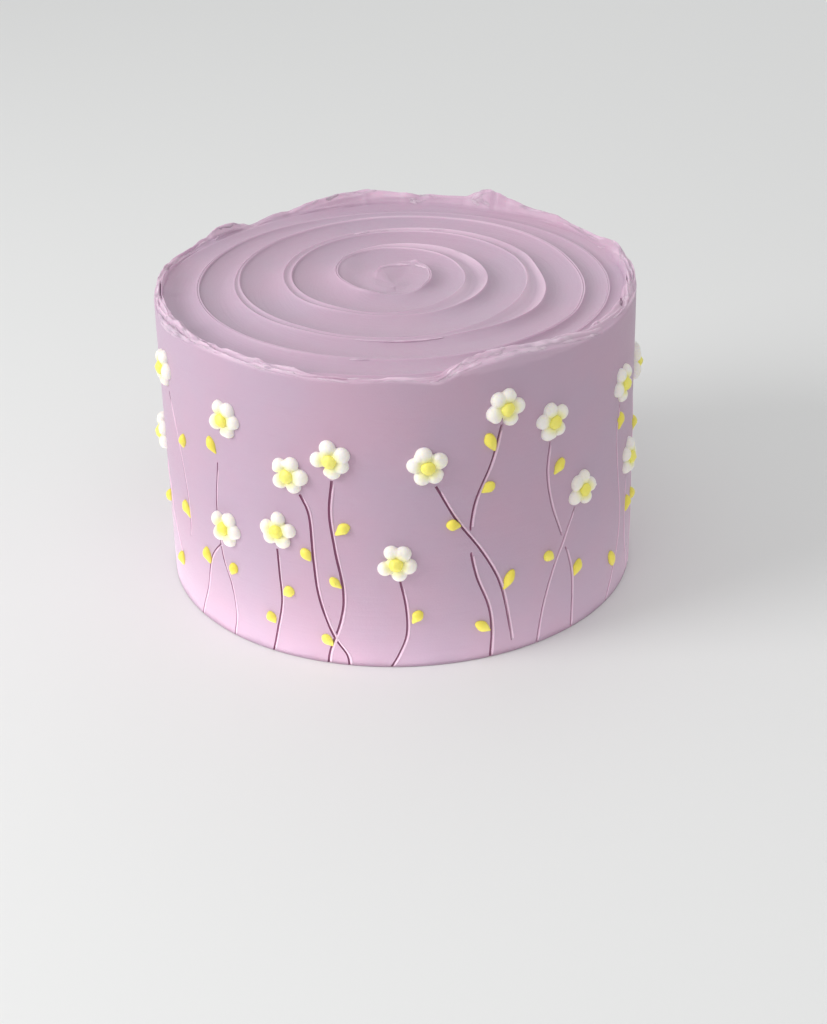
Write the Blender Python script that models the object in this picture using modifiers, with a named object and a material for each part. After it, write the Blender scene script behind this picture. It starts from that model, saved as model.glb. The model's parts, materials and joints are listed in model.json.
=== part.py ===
# A round birthday cake covered in lilac buttercream. A spiral is drawn in its top, the icing
# stands up in a ragged lip round the edge, and stems are scored down the side, with yellow
# leaves beside them and a piped white daisy at the head of each.
#
# Metres, +Z up, the middle of the base at the origin. Angles round the side are in degrees from
# the front (-Y), positive towards +X.

import math
import random

import bpy
import bmesh
from mathutils import Matrix, Vector

# Distances under which points are welded, and the angle under which faces are one
TINY = 0.00001
CLOSE = 0.0001
FLAT_ANGLE = 1  # degrees

# Cake
CAKE_RADIUS = 0.090
TOP_LEVEL = 0.1135  # height of the ridges drawn in the top
FLATS = 48  # columns of faces round the cake
SHARP_EDGE = 35  # degrees

# Spiral in the top: the ridge's distance from the spiral's middle after each quarter turn,
# from the front round by the left, the back and the right
SPIRAL_RADII = (
    0.0050, 0.0080, 0.0113, 0.0124,
    0.0160, 0.0230, 0.0307, 0.0310,
    0.0340, 0.0397, 0.0515, 0.0535,
    0.0535, 0.0585, 0.0680, 0.0703,
    0.0710, 0.0735, 0.0780, 0.0795,
    0.0830, 0.0870,
)
SPIRAL_MIDDLE = Vector((0.0015, 0.0070))  # the first loop is drawn off the cake's middle
DRIFT_QUARTERS = 14  # quarter turns until the loops are round the cake's middle
TROUGH_DEPTH = 0.0019
TROUGH = ((0.0, 0.0), (0.22, 0.82), (0.55, 1.0), (0.86, 0.3), (1.0, 0.0))
FULL_DEPTH_WIDTH = 0.014  # a narrower trough is shallower
START_RISE_QUARTERS = 1.5  # the ridge rises from nothing over this much of its start
PEAK_QUARTERS = 2.2  # where the spatula pulled the ridge up to a point
PEAK_HEIGHT = 0.0016
PEAK_SPREAD = 0.12  # quarter turns

# Lip: angle, height of its crest above the top, width from the side to its inner foot
LIP = (
    (-180, 0.0036, 0.0040), (-170, 0.0046, 0.0040), (-160, 0.0032, 0.0042), (-150, 0.0008, 0.0045),
    (-140, 0.0003, 0.0050), (-131, 0.0032, 0.0050), (-124, 0.0014, 0.0045), (-115, 0.0004, 0.0035),
    (-104, 0.0020, 0.0032), (-96, 0.0028, 0.0032), (-90, 0.0022, 0.0030), (-75, 0.0018, 0.0045),
    (-60, 0.0016, 0.0050), (-48, 0.0020, 0.0040), (-28, 0.0017, 0.0036), (-14, 0.0004, 0.0026),
    (0, 0.0008, 0.0030), (8, 0.0004, 0.0030), (13, 0.0022, 0.0055), (18, 0.0045, 0.0072),
    (28, 0.0053, 0.0074), (42, 0.0038, 0.0066), (52, 0.0018, 0.0055), (62, 0.0015, 0.0060),
    (72, 0.0019, 0.0052), (90, 0.0028, 0.0042), (104, 0.0038, 0.0048), (114, 0.0014, 0.0044),
    (124, 0.0005, 0.0040), (132, 0.0020, 0.0040), (140, 0.0018, 0.0042), (146, 0.0040, 0.0046),
    (150, 0.0072, 0.0050), (156, 0.0060, 0.0050), (162, 0.0022, 0.0045), (172, 0.0018, 0.0042),
)
LIP_FOOT_DROP = 0.0008  # the inner foot of the lip is this far below the ridges
# The lip's section: share of its width in from the side, share of its height above the foot
LIP_SECTION = ((1.0, 0.0), (0.88, 0.5), (0.5, 1.0), (0.18, 0.94), (0.0, 0.72))
LIP_UNEVENNESS = 0.00035  # drawn anew for each column of faces

# Stems, scored in the side
STEM_RADIUS = 0.0011
STEM_STEP = 0.012  # length between the points of a stem
STEM_OVERRUN = 0.002  # how far a stem's cutter runs out below the base

# Leaves, piped on the side as teardrops
LEAF_WIDTH = 0.0044
LEAF_HEIGHT = 0.0018
LEAF_TIP_SHARE = 0.5  # width near the tip, as a share of the widest

# Daisies
GAP = 0.0003  # between neighbouring pieces
PETALS = 5
PETAL_TURN = 360 / PETALS  # degrees
PETAL_SIDES = 6
SEAT_SIDES = 6
PETAL_RING = 0.0048  # from the daisy's middle to the middle of a petal
PETAL_WIDTH = 0.0065
PETAL_LENGTH = 0.0065
PETAL_HEIGHT = 0.0026
PETAL_UNEVENNESS = 0.06
HEART_RADIUS = 0.0028
HEART_TOP = 0.0036  # above the back of the petals
SEAT_LEVEL = 0.0014  # bottom of the seat that the yellow heart sits in
HUB_RADIUS = 0.0026  # joins the petals in the middle, under the heart
HUB_HEIGHT = 0.0020

# Colours: base colour and roughness
LILAC = ((0.56, 0.40, 0.52), 0.55)
WHITE = ((0.86, 0.84, 0.76), 0.5)
YELLOW = ((0.86, 0.77, 0.14), 0.45)

# Daisies that face the front: place of the daisy, where each petal points (degrees clockwise
# from straight up), the stem's points below it, and the leaves. A leaf is given by the place of
# its tip, its lean from straight up, and its length.
FRONT_DAISIES = (
    {
        "place": (-71, 0.0946), "petals": (-50, 20, 92, 165, -122),
        "stem": ((-69, 0.086), (-65, 0.071), (-61.5, 0.052), (-60.8, 0.038), (-61.5, 0.031)),
        "leaves": ((-61.6, 0.0680, 12, 0.0060), (-60.8, 0.0391, -33, 0.0073)),
    },
    {
        "place": (-82.9, 0.0598), "petals": (-20, 52, 124, 196, -92),
        "stem": ((-81, 0.052), (-77, 0.042), (-74.4, 0.030), (-69.5, 0.020), (-68, 0.016)),
        "leaves": ((-82.5, 0.0303, 38, 0.0085), (-68.6, 0.0131, 0, 0.0062)),
    },
    {
        "place": (-43, 0.0901), "petals": (-30, 30, 91, 156, -118),
        "stem": (
            (-46.5, 0.071), (-48, 0.052), (-47, 0.033), (-44.5, 0.022), (-43.5, 0.010), (-44.7, 0.0),
        ),
        "leaves": ((-46.7, 0.0743, -37, 0.0072), (-44.4, 0.0262, 28, 0.0062)),
    },
    {
        "place": (-25.7, 0.0751), "petals": (-46, 17, 93, 155, -130),
        "stem": (
            (-23.2, 0.068), (-21.2, 0.060), (-20.6, 0.042), (-19.6, 0.027), (-16.7, 0.0126),
            (-13.6, 0.005), (-13, 0.0),
        ),
        "leaves": ((-21.3, 0.0416, -30, 0.0057),),
    },
    {
        "place": (-15.5, 0.0833), "petals": (-11, 64, 118, 170, -95),
        "stem": (
            (-15.4, 0.075), (-16.3, 0.062), (-15.4, 0.048), (-13.8, 0.031), (-14.6, 0.019),
            (-17.4, 0.006), (-18.1, 0.0),
        ),
        "leaves": (
            (-15.1, 0.0537, 48, 0.0067), (-14.1, 0.0320, -45, 0.0060), (-16.7, 0.0075, -40, 0.0059),
        ),
    },
    {
        "place": (-45, 0.0455), "petals": (-59, 33, 95, 156, -134),
        "stem": ((-47, 0.038), (-51.5, 0.029), (-54, 0.015), (-56.6, 0.0056), (-58, 0.0)),
        "leaves": ((-52.4, 0.0257, -18, 0.0067),),
    },
    {
        "place": (-29.2, 0.0520), "petals": (-85, 3, 83, 157, -135),
        "stem": ((-29.8, 0.044), (-29.5, 0.033), (-29.3, 0.022), (-31, 0.0095), (-32.5, 0.0)),
        "leaves": ((-28.9, 0.0252, 50, 0.0059), (-31.4, 0.0123, -33, 0.0051)),
    },
    {
        "place": (-1.5, 0.0435), "petals": (-20, 35, 107, 167, -119),
        "stem": ((-0.7, 0.036), (0.5, 0.025), (0.5, 0.014), (-1.4, 0.0055), (-3.3, 0.0)),
        "leaves": ((1.9, 0.0185, 31, 0.0059),),
    },
    {
        "place": (6, 0.0811), "petals": (-82, -16, 66, 147, -155),
        "stem": (
            (7.8, 0.073), (12.3, 0.059), (18.2, 0.0448), (22.5, 0.0309), (24.6, 0.016), (25.6, 0.005),
        ),
        "leaves": ((13.4, 0.0562, -72, 0.0057), (23.5, 0.0272, 29, 0.0081)),
    },
    {
        "place": (24.1, 0.0991), "petals": (-38, 13, 91, 157, -108),
        "stem": (
            (23.2, 0.093), (20.6, 0.079), (16.7, 0.0646), (15.5, 0.050), (16.7, 0.036),
            (19.7, 0.022), (20.5, 0.011), (20.1, 0.0),
        ),
        "leaves": (
            (21.5, 0.0835, -23, 0.0078), (18.2, 0.0682, 60, 0.0058), (20.3, 0.0112, -52, 0.0074),
        ),
    },
    {
        "place": (36.6, 0.0889), "petals": (-14, 60, 143, -153, -79),
        "stem": (
            (36.1, 0.081), (35.3, 0.069), (36.7, 0.0555), (40, 0.041), (43, 0.027), (43.7, 0.016),
            (43.4, 0.0),
        ),
        "leaves": ((37.4, 0.0674, 37, 0.0066), (44.3, 0.0214, 24, 0.0071)),
    },
    {
        "place": (46.5, 0.0566), "petals": (8, -41, 88, -117, 153),
        "stem": ((44.2, 0.0505), (40.8, 0.040), (37.3, 0.029), (34.2, 0.0146), (32.5, 0.0)),
        "leaves": ((37.5, 0.0331, -52, 0.0058),),
    },
    {
        "place": (65.1, 0.0869), "petals": (-30, 42, 114, 186, -102),
        "stem": ((64.3, 0.079), (62.6, 0.068), (64, 0.050), (66, 0.033), (64, 0.017), (58, 0.0)),
        "leaves": ((63.8, 0.0690, 17, 0.0069), (62.4, 0.0127, -28, 0.0085)),
    },
    {
        "place": (71.7, 0.0523), "petals": (-58, 14, 86, 158, -130),
        "stem": ((71.6, 0.045), (70.3, 0.032), (71, 0.018), (73.5, 0.007), (75, 0.0)),
        "leaves": ((71.1, 0.0293, 19, 0.0064),),
    },
)

# Daisies round the rest of the side: angle, height, and the angle of the stem's foot
BACK_DAISIES = (
    (88, 0.080, 77), (102, 0.057, 96), (116, 0.093, 107), (130, 0.071, 137), (143, 0.047, 141),
    (156, 0.088, 164), (169, 0.063, 173), (182, 0.098, 180), (196, 0.076, 190), (210, 0.050, 215),
    (225, 0.090, 219), (240, 0.066, 244), (257, 0.084, 250),
)
BACK_SEED = 11
BACK_BOW = 4.0  # degrees that a stem bows to one side and then to the other
BACK_STEM_SHARES = (0.68, 0.32)  # of the stem's height, at its two bows
BACK_PETAL_SCATTER = 7.0  # degrees
BACK_LEAF_SHARES = (0.34, 0.66)  # of the daisy's height
BACK_LEAF_ASIDE = 0.6  # degrees from the stem to a leaf's tip
BACK_LEAF_LEAN = (28, 50)  # degrees, least and most
BACK_LEAF_LENGTH = (0.0056, 0.0074)
DAISY_REACH = 0.0080  # from a daisy's middle down to where its stem starts


def hermite(values, place):
    """Smooth curve through evenly spaced values, at a place counted in spacings."""
    last = len(values) - 1
    i = min(int(place), last - 1)
    t = place - i
    start, end = values[i], values[i + 1]
    slope_in = (end - values[max(i - 1, 0)]) / 2
    slope_out = (values[min(i + 2, last)] - start) / 2
    return (
        start * (2 * t**3 - 3 * t**2 + 1)
        + slope_in * (t**3 - 2 * t**2 + t)
        + end * (3 * t**2 - 2 * t**3)
        + slope_out * (t**3 - t**2)
    )


def outward(angle):
    """Level direction away from the cake's middle."""
    turn = math.radians(angle)
    return Vector((math.sin(turn), -math.cos(turn)))


def on_side(angle, height):
    flat = outward(angle) * CAKE_RADIUS
    return Vector((flat.x, flat.y, height))


def lip_at(angle):
    """Height and width of the lip at an angle, with a small seeded unevenness."""
    angle = (angle + 180) % 360 - 180
    rows = LIP + ((LIP[0][0] + 360, *LIP[0][1:]),)
    for before, after in zip(rows, rows[1:]):
        if angle <= after[0]:
            break
    t = (angle - before[0]) / (after[0] - before[0])
    t = t * t * (3 - 2 * t)
    column = round(angle * FLATS / 360)
    uneven = random.Random(column).uniform(-LIP_UNEVENNESS, LIP_UNEVENNESS)
    height = before[1] + (after[1] - before[1]) * t + uneven
    width = before[2] + (after[2] - before[2]) * t
    return height, width


# The top


def ridge_point(quarters):
    """Where the spiral's ridge runs, after so many quarter turns from the front."""
    angle = -90 * quarters
    last = len(SPIRAL_RADII) - 1
    if quarters >= last:
        return outward(angle) * (CAKE_RADIUS - lip_at(angle)[1])
    middle = SPIRAL_MIDDLE * max(0.0, 1 - max(quarters, 0) / DRIFT_QUARTERS)
    return middle + outward(angle) * hermite(SPIRAL_RADII, max(quarters, 0))


def ridge_level(quarters):
    if quarters >= len(SPIRAL_RADII) - 1:
        return TOP_LEVEL - LIP_FOOT_DROP
    rise = min(max(quarters, 0) / START_RISE_QUARTERS, 1.0)
    peak = PEAK_HEIGHT * math.exp(-(((quarters - PEAK_QUARTERS) / PEAK_SPREAD) ** 2))
    return TOP_LEVEL - TROUGH_DEPTH * (1 - rise) + peak


def top_mesh():
    """A long strip, wound so that its edges are the spiral's ridges."""
    turns = (len(SPIRAL_RADII) - 1) / 4 + 1
    columns = round(turns * FLATS)
    rows = len(TROUGH) - 1
    bm = bmesh.new()
    bmesh.ops.create_grid(bm, x_segments=columns, y_segments=rows, size=0.5)
    for vert in bm.verts:
        quarters = round((vert.co.x + 0.5) * columns) * 4 / FLATS
        share, sink = TROUGH[round((vert.co.y + 0.5) * rows)]
        inner = ridge_point(quarters - 4)
        outer = ridge_point(quarters)
        depth = TROUGH_DEPTH * min((outer - inner).length / FULL_DEPTH_WIDTH, 1.0)
        place = inner.lerp(outer, share)
        level = ridge_level(quarters - 4) * (1 - share) + ridge_level(quarters) * share
        vert.co = (place.x, place.y, level - sink * depth)
    return bm


# The side, its lip and the base


def wall_mesh():
    """The side, lip and base turned from a profile, with the lip then stretched by its table."""
    nominal_height, nominal_width = LIP[0][1:]
    foot = TOP_LEVEL - LIP_FOOT_DROP
    rise = nominal_height + LIP_FOOT_DROP
    profile = [
        (CAKE_RADIUS - nominal_width * inward, foot + rise * up) for inward, up in LIP_SECTION
    ]
    profile += [(CAKE_RADIUS, 0.0), (0.0, 0.0)]
    mesh = bpy.data.meshes.new("profile")
    edges = [(i, i + 1) for i in range(len(profile) - 1)]
    mesh.from_pydata([(x, 0, z) for x, z in profile], edges, [])
    turned = bpy.data.objects.new("profile", mesh)
    bpy.context.scene.collection.objects.link(turned)
    screw = turned.modifiers.new("turn", "SCREW")
    screw.steps = screw.render_steps = FLATS
    screw.use_merge_vertices = True
    screw.merge_threshold = CLOSE
    bake(turned)
    bm = bmesh.new()
    bm.from_mesh(turned.data)
    bpy.data.objects.remove(turned)
    for vert in bm.verts:
        if vert.co.z < foot - CLOSE:
            continue
        flat = Vector(vert.co[:2])
        angle = math.degrees(math.atan2(flat.x, -flat.y))
        height, width = lip_at(angle)
        inward = (CAKE_RADIUS - flat.length) * width / nominal_width
        flat = outward(angle) * (CAKE_RADIUS - inward)
        up = (vert.co.z - foot) * (height + LIP_FOOT_DROP) / rise
        vert.co = (flat.x, flat.y, foot + up)
    return bm


def make_cake():
    bm = wall_mesh()
    top = top_mesh()
    strip = bpy.data.meshes.new("strip")
    top.to_mesh(strip)
    top.free()
    bm.from_mesh(strip)
    bmesh.ops.remove_doubles(bm, verts=bm.verts, dist=2 * CLOSE)
    bmesh.ops.dissolve_degenerate(bm, edges=bm.edges, dist=CLOSE / 2)
    middle = bmesh.ops.holes_fill(bm, edges=bm.edges, sides=0)["faces"]
    bmesh.ops.poke(bm, faces=middle)
    bmesh.ops.triangulate(bm, faces=bm.faces)
    bmesh.ops.recalc_face_normals(bm, faces=bm.faces)
    return finish_object("cake", bm)


# Stems and leaves


def smooth_path(points, step):
    """Points about a step apart on a smooth curve through a list of (angle, height)."""
    angles = [p[0] for p in points]
    heights = [p[1] for p in points]
    path = []
    for i in range(len(points) - 1):
        length = (on_side(*points[i]) - on_side(*points[i + 1])).length
        pieces = max(1, round(length / step))
        places = [i + k / pieces for k in range(pieces)]
        path += [(hermite(angles, t), hermite(heights, t)) for t in places]
    return path + [points[-1]]


def make_stem_cutter(number, points):
    path = smooth_path(points, STEM_STEP)
    places = [on_side(angle, height) for angle, height in path]
    if points[-1][1] == 0.0:
        places.append(places[-1] + (places[-1] - places[-2]).normalized() * STEM_OVERRUN)
    curve = bpy.data.curves.new(f"stem_{number:02d}", "CURVE")
    curve.dimensions = "3D"
    curve.bevel_depth = STEM_RADIUS
    curve.bevel_resolution = 0
    curve.use_fill_caps = True
    spline = curve.splines.new("POLY")
    spline.points.add(len(places) - 1)
    for point, place in zip(spline.points, places):
        point.co = (*place, 1.0)
    return curve_to_mesh(curve)


def side_frame(angle, height, clockwise=0.0, stand_off=0.0):
    """A frame on the side: its Z points outwards and its Y up, turned clockwise by an angle."""
    place = on_side(angle, height) + outward(angle).to_3d() * stand_off
    return (
        Matrix.Translation(place)
        @ Matrix.Rotation(math.radians(angle), 4, "Z")
        @ Matrix.Rotation(math.pi / 2, 4, "X")
        @ Matrix.Rotation(-math.radians(clockwise), 4, "Z")
    )


def make_leaf(number, tip_angle, tip_height, lean, length):
    bm = bmesh.new()
    bmesh.ops.create_icosphere(bm, subdivisions=1, radius=1.0)
    for vert in bm.verts:
        wide = LEAF_TIP_SHARE if vert.co.z < 0 else 1.0
        across, out, along = vert.co
        vert.co = (
            across * wide * LEAF_WIDTH / 2,
            (along + 1) * length / 2,
            -out * wide * LEAF_HEIGHT,
        )
    bm.transform(side_frame(tip_angle, tip_height, lean))
    bmesh.ops.recalc_face_normals(bm, faces=bm.faces)
    return finish_object(f"leaf_{number:02d}", bm)


# Daisies


def dome(width, length, height):
    """A whole flattened ball."""
    bm = bmesh.new()
    bmesh.ops.create_uvsphere(bm, u_segments=PETAL_SIDES, v_segments=4, radius=1.0)
    bmesh.ops.scale(bm, verts=bm.verts, vec=(width / 2, length / 2, height))
    return bm


def cut_flat(bm):
    """Keep what is above Z 0, with a flat face there."""
    geometry = bm.verts[:] + bm.edges[:] + bm.faces[:]
    bmesh.ops.bisect_plane(
        bm, geom=geometry, dist=TINY, plane_co=(0, 0, 0), plane_no=(0, 0, 1), clear_inner=True
    )
    bmesh.ops.holes_fill(bm, edges=bm.edges, sides=0)


def make_petals(name, directions, rng):
    """Five domes and a hub, cut flat behind, with a seat for the heart."""
    joined = bpy.data.collections.new("joined")
    bpy.context.scene.collection.children.link(joined)
    for number, direction in enumerate(directions):
        size = 1 + rng.uniform(-PETAL_UNEVENNESS, PETAL_UNEVENNESS)
        bm = dome(PETAL_WIDTH * size, PETAL_LENGTH * size, PETAL_HEIGHT * size)
        bmesh.ops.translate(bm, verts=bm.verts, vec=(0, PETAL_RING, 0))
        turn = Matrix.Rotation(-math.radians(direction), 4, "Z")
        bmesh.ops.transform(bm, verts=bm.verts, matrix=turn)
        joined.objects.link(finish_object(f"petal_{number}", bm, link=False))
    bm = bmesh.new()
    bmesh.ops.create_cone(
        bm, cap_ends=True, segments=SEAT_SIDES, radius1=HUB_RADIUS, radius2=HUB_RADIUS,
        depth=2 * HUB_HEIGHT,
    )
    petals = finish_object(name, bm)
    boolean_with_all(petals, joined, "UNION")
    seats = bpy.data.collections.new("seats")
    bpy.context.scene.collection.children.link(seats)
    seat_depth = 2 * PETAL_HEIGHT
    radius = HEART_RADIUS + GAP
    bm = bmesh.new()
    bmesh.ops.create_cone(
        bm, cap_ends=True, segments=SEAT_SIDES, radius1=radius, radius2=radius, depth=seat_depth
    )
    bmesh.ops.translate(bm, verts=bm.verts, vec=(0, 0, SEAT_LEVEL + seat_depth / 2))
    seats.objects.link(finish_object("seat", bm, link=False))
    boolean_with_all(petals, seats, "DIFFERENCE")
    bm = bmesh.new()
    bm.from_mesh(petals.data)
    cut_flat(bm)
    bmesh.ops.remove_doubles(bm, verts=bm.verts, dist=CLOSE)
    flat = math.radians(FLAT_ANGLE)
    bmesh.ops.dissolve_limit(bm, angle_limit=flat, verts=bm.verts, edges=bm.edges)
    bmesh.ops.triangulate(bm, faces=bm.faces)
    bm.to_mesh(petals.data)
    bm.free()
    return petals


def make_heart(name):
    """The yellow dome in the middle of a daisy."""
    base = SEAT_LEVEL + GAP
    bm = dome(2 * HEART_RADIUS, 2 * HEART_RADIUS, HEART_TOP - base)
    cut_flat(bm)
    bmesh.ops.translate(bm, verts=bm.verts, vec=(0, 0, base))
    bmesh.ops.recalc_face_normals(bm, faces=bm.faces)
    return finish_object(name, bm)


def back_daisies():
    """The daisies of the back, with their petals, stems and leaves by one seeded rule."""
    rng = random.Random(BACK_SEED)
    for number, (angle, height, foot) in enumerate(BACK_DAISIES):
        first = rng.uniform(0, PETAL_TURN)
        bow = BACK_BOW * (1 if number % 2 else -1)
        start = height - DAISY_REACH
        third = (foot - angle) / 3
        stem = (
            (angle, start),
            (angle + third + bow / 2, start * BACK_STEM_SHARES[0]),
            (angle + 2 * third - bow / 2, start * BACK_STEM_SHARES[1]),
            (foot, 0.0),
        )
        leaves = []
        for share in BACK_LEAF_SHARES:
            side = 1 if (number + len(leaves)) % 2 else -1
            place = 3 * (1 - share * height / start)
            tip = hermite([p[0] for p in stem], place) + BACK_LEAF_ASIDE * side
            tip_height = hermite([p[1] for p in stem], place)
            lean = side * rng.uniform(*BACK_LEAF_LEAN)
            leaves.append((tip, tip_height, lean, rng.uniform(*BACK_LEAF_LENGTH)))
        yield {
            "place": (angle, height),
            "petals": [
                first + PETAL_TURN * k + rng.uniform(-BACK_PETAL_SCATTER, BACK_PETAL_SCATTER)
                for k in range(PETALS)
            ],
            "stem": stem,
            "leaves": leaves,
        }


# Objects, materials and modifiers


def finish_object(name, bm, link=True):
    mesh = bpy.data.meshes.new(name)
    bm.to_mesh(mesh)
    bm.free()
    obj = bpy.data.objects.new(name, mesh)
    if link:
        bpy.context.scene.collection.objects.link(obj)
    return obj


def bake(obj):
    """Give an object the mesh that its modifiers make, and drop them."""
    bpy.context.view_layer.update()
    evaluated = obj.evaluated_get(bpy.context.evaluated_depsgraph_get())
    mesh = bpy.data.meshes.new_from_object(evaluated)
    obj.modifiers.clear()
    obj.data = mesh


def curve_to_mesh(curve):
    """A closed mesh object from a curve, its caps welded on."""
    drawn = bpy.data.objects.new(curve.name, curve)
    bpy.context.scene.collection.objects.link(drawn)
    bpy.context.view_layer.update()
    evaluated = drawn.evaluated_get(bpy.context.evaluated_depsgraph_get())
    bm = bmesh.new()
    bm.from_mesh(bpy.data.meshes.new_from_object(evaluated))
    bmesh.ops.remove_doubles(bm, verts=bm.verts, dist=TINY)
    bmesh.ops.recalc_face_normals(bm, faces=bm.faces)
    made = finish_object(curve.name, bm)
    made.matrix_world = drawn.matrix_world
    bpy.data.objects.remove(drawn)
    return made


def boolean_with_all(target, tools, operation):
    """One Boolean with every object of a collection, whose objects are then removed."""
    for tool in tools.objects:
        tool.hide_render = True
        tool.display_type = "WIRE"
    modifier = target.modifiers.new(operation.lower(), "BOOLEAN")
    modifier.operand_type = "COLLECTION"
    modifier.collection = tools
    modifier.operation = operation
    modifier.solver = "EXACT"
    bake(target)
    for tool in list(tools.objects):
        bpy.data.objects.remove(tool)
    bpy.data.collections.remove(tools)


def collection_of(name, objects):
    made = bpy.data.collections.new(name)
    bpy.context.scene.collection.children.link(made)
    for obj in objects:
        for old in list(obj.users_collection):
            old.objects.unlink(obj)
        made.objects.link(obj)
    return made


def icing(name, finish):
    colour, roughness = finish
    material = bpy.data.materials.new(name)
    material.use_nodes = True
    shader = material.node_tree.nodes["Principled BSDF"]
    shader.inputs["Base Color"].default_value = (*colour, 1.0)
    shader.inputs["Roughness"].default_value = roughness
    shader.inputs["Metallic"].default_value = 0.0
    material.diffuse_color = (*colour, 1.0)
    return material


def main():
    for obj in list(bpy.data.objects):
        bpy.data.objects.remove(obj)

    daisies = [*FRONT_DAISIES, *back_daisies()]

    cake = make_cake()
    cutters = [make_stem_cutter(n, daisy["stem"]) for n, daisy in enumerate(daisies)]
    boolean_with_all(cake, collection_of("stems", cutters), "DIFFERENCE")
    rows = [leaf for daisy in daisies for leaf in daisy["leaves"]]
    leaves = [make_leaf(n, *row) for n, row in enumerate(rows)]
    boolean_with_all(cake, collection_of("leaves", leaves), "UNION")
    cake.data.materials.clear()
    cake.data.materials.append(icing("lilac_buttercream", LILAC))
    pieces = [cake]

    for number, daisy in enumerate(daisies, start=1):
        frame = side_frame(*daisy["place"], stand_off=GAP)
        name = f"daisy_{number:02d}"
        petals = make_petals(f"{name}_petals", daisy["petals"], random.Random(number))
        petals.data.materials.clear()
        petals.data.materials.append(icing(f"{name}_white", WHITE))
        heart = make_heart(f"{name}_heart")
        heart.data.materials.append(icing(f"{name}_yellow", YELLOW))
        for piece in (petals, heart):
            piece.matrix_world = frame
            pieces.append(piece)

    collection_of("birthday_cake", pieces)
    for piece in pieces:
        piece.data.shade_smooth()
        piece.data.set_sharp_from_angle(angle=math.radians(SHARP_EDGE))


main()
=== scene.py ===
import json
import math
import random

import bmesh
import bpy
from mathutils import Matrix, Vector, noise

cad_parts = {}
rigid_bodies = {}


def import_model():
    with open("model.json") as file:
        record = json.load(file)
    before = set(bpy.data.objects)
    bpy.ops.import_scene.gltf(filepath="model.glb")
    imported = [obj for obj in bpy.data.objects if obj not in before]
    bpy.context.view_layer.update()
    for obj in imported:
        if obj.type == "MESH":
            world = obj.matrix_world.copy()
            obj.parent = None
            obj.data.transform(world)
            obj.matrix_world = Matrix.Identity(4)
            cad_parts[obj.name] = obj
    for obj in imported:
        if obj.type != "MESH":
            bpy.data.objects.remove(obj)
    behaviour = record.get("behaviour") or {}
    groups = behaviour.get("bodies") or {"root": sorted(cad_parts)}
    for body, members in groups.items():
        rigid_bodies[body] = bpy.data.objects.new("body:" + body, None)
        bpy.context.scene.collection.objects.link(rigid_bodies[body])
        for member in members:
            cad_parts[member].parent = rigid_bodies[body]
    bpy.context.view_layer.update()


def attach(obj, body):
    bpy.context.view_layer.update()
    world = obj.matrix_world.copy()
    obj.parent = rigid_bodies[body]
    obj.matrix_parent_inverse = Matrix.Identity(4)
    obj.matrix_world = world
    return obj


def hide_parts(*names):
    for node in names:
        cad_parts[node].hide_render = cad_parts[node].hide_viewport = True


# A tall round birthday cake in lilac buttercream: a spiral swept into the top, a torn lip round
# the edge, stems scored down the side, piped yellow leaves and piped white daisies.
# Metres, +Z up. Angles round the side are degrees from the front (-Y), positive towards +X.

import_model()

cake = {
    "radius": 0.090,
    "topLevel": 0.1135,  # height of the ridges in the top
    "columns": 300,  # faces round the side
    "sideRows": 24,
    "baseEdge": 0.0005,  # rounding where the side meets the base
    "waviness": 0.00016,  # the scraper doesn't leave the side quite round
    "hollowScale": 26,
    "bandScale": (9, 9, 170),
    "bandShare": 0.45,
    "near": 0.00001,  # how close a point counts as lying on a line
}


# Curves and places

def between(table, x):
    # smooth curve through rows of (x, value, value...), as a list of values
    for i in range(len(table) - 1):
        if x <= table[i + 1][0]:
            break
    before, start, end = table[max(i - 1, 0)], table[i], table[i + 1]
    after = table[min(i + 2, len(table) - 1)]
    span = end[0] - start[0]
    t = min(max((x - start[0]) / span, 0.0), 1.0)
    values = []
    for k in range(1, len(start)):
        slopeIn = (end[k] - before[k]) / (end[0] - before[0]) * span
        slopeOut = (after[k] - start[k]) / (after[0] - start[0]) * span
        values.append(
            start[k] * (2 * t**3 - 3 * t**2 + 1) + slopeIn * (t**3 - 2 * t**2 + t)
            + end[k] * (3 * t**2 - 2 * t**3) + slopeOut * (t**3 - t**2)
        )
    return values


def smoothStep(low, high, x):
    t = min(max((x - low) / (high - low), 0.0), 1.0)
    return t * t * (3 - 2 * t)


def bell(x, middle, spread):
    return math.exp(-(((x - middle) / spread) ** 2))


def outward(angle):
    turn = math.radians(angle)
    return Vector((math.sin(turn), -math.cos(turn), 0))


def onSide(angle, height, out=0.0):
    return outward(angle) * (cake["radius"] + out) + Vector((0, 0, height))


def wrapOnSide(point, angle, height):
    # a point drawn flat (x to the right, y up, z off the side) laid round the side
    bend = math.degrees(point.x / cake["radius"])
    return onSide(angle + bend, height + point.y, point.z)


def angleOf(point):
    return math.degrees(math.atan2(point.x, -point.y))


# Working by hand

def deselectAll():
    if bpy.context.mode != "OBJECT":
        bpy.ops.object.mode_set(mode="OBJECT")
    bpy.ops.object.select_all(action="DESELECT")


def pick(obj):
    deselectAll()
    bpy.context.view_layer.objects.active = obj
    obj.select_set(True)


def selectVerts(obj, wanted):
    # in edit mode: select the points for which wanted(co) is true, and what lies between them
    bm = bmesh.from_edit_mesh(obj.data)
    for part in (*bm.faces, *bm.edges, *bm.verts):
        part.select = False
    for vert in bm.verts:
        vert.select = wanted(vert.co)
    bm.select_flush(True)
    bmesh.update_edit_mesh(obj.data)


def moveVerts(obj, place):
    # sculpt in code: each point goes where place(co) says
    for vert in obj.data.vertices:
        vert.co = place(vert.co.copy())
    obj.data.update()


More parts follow.
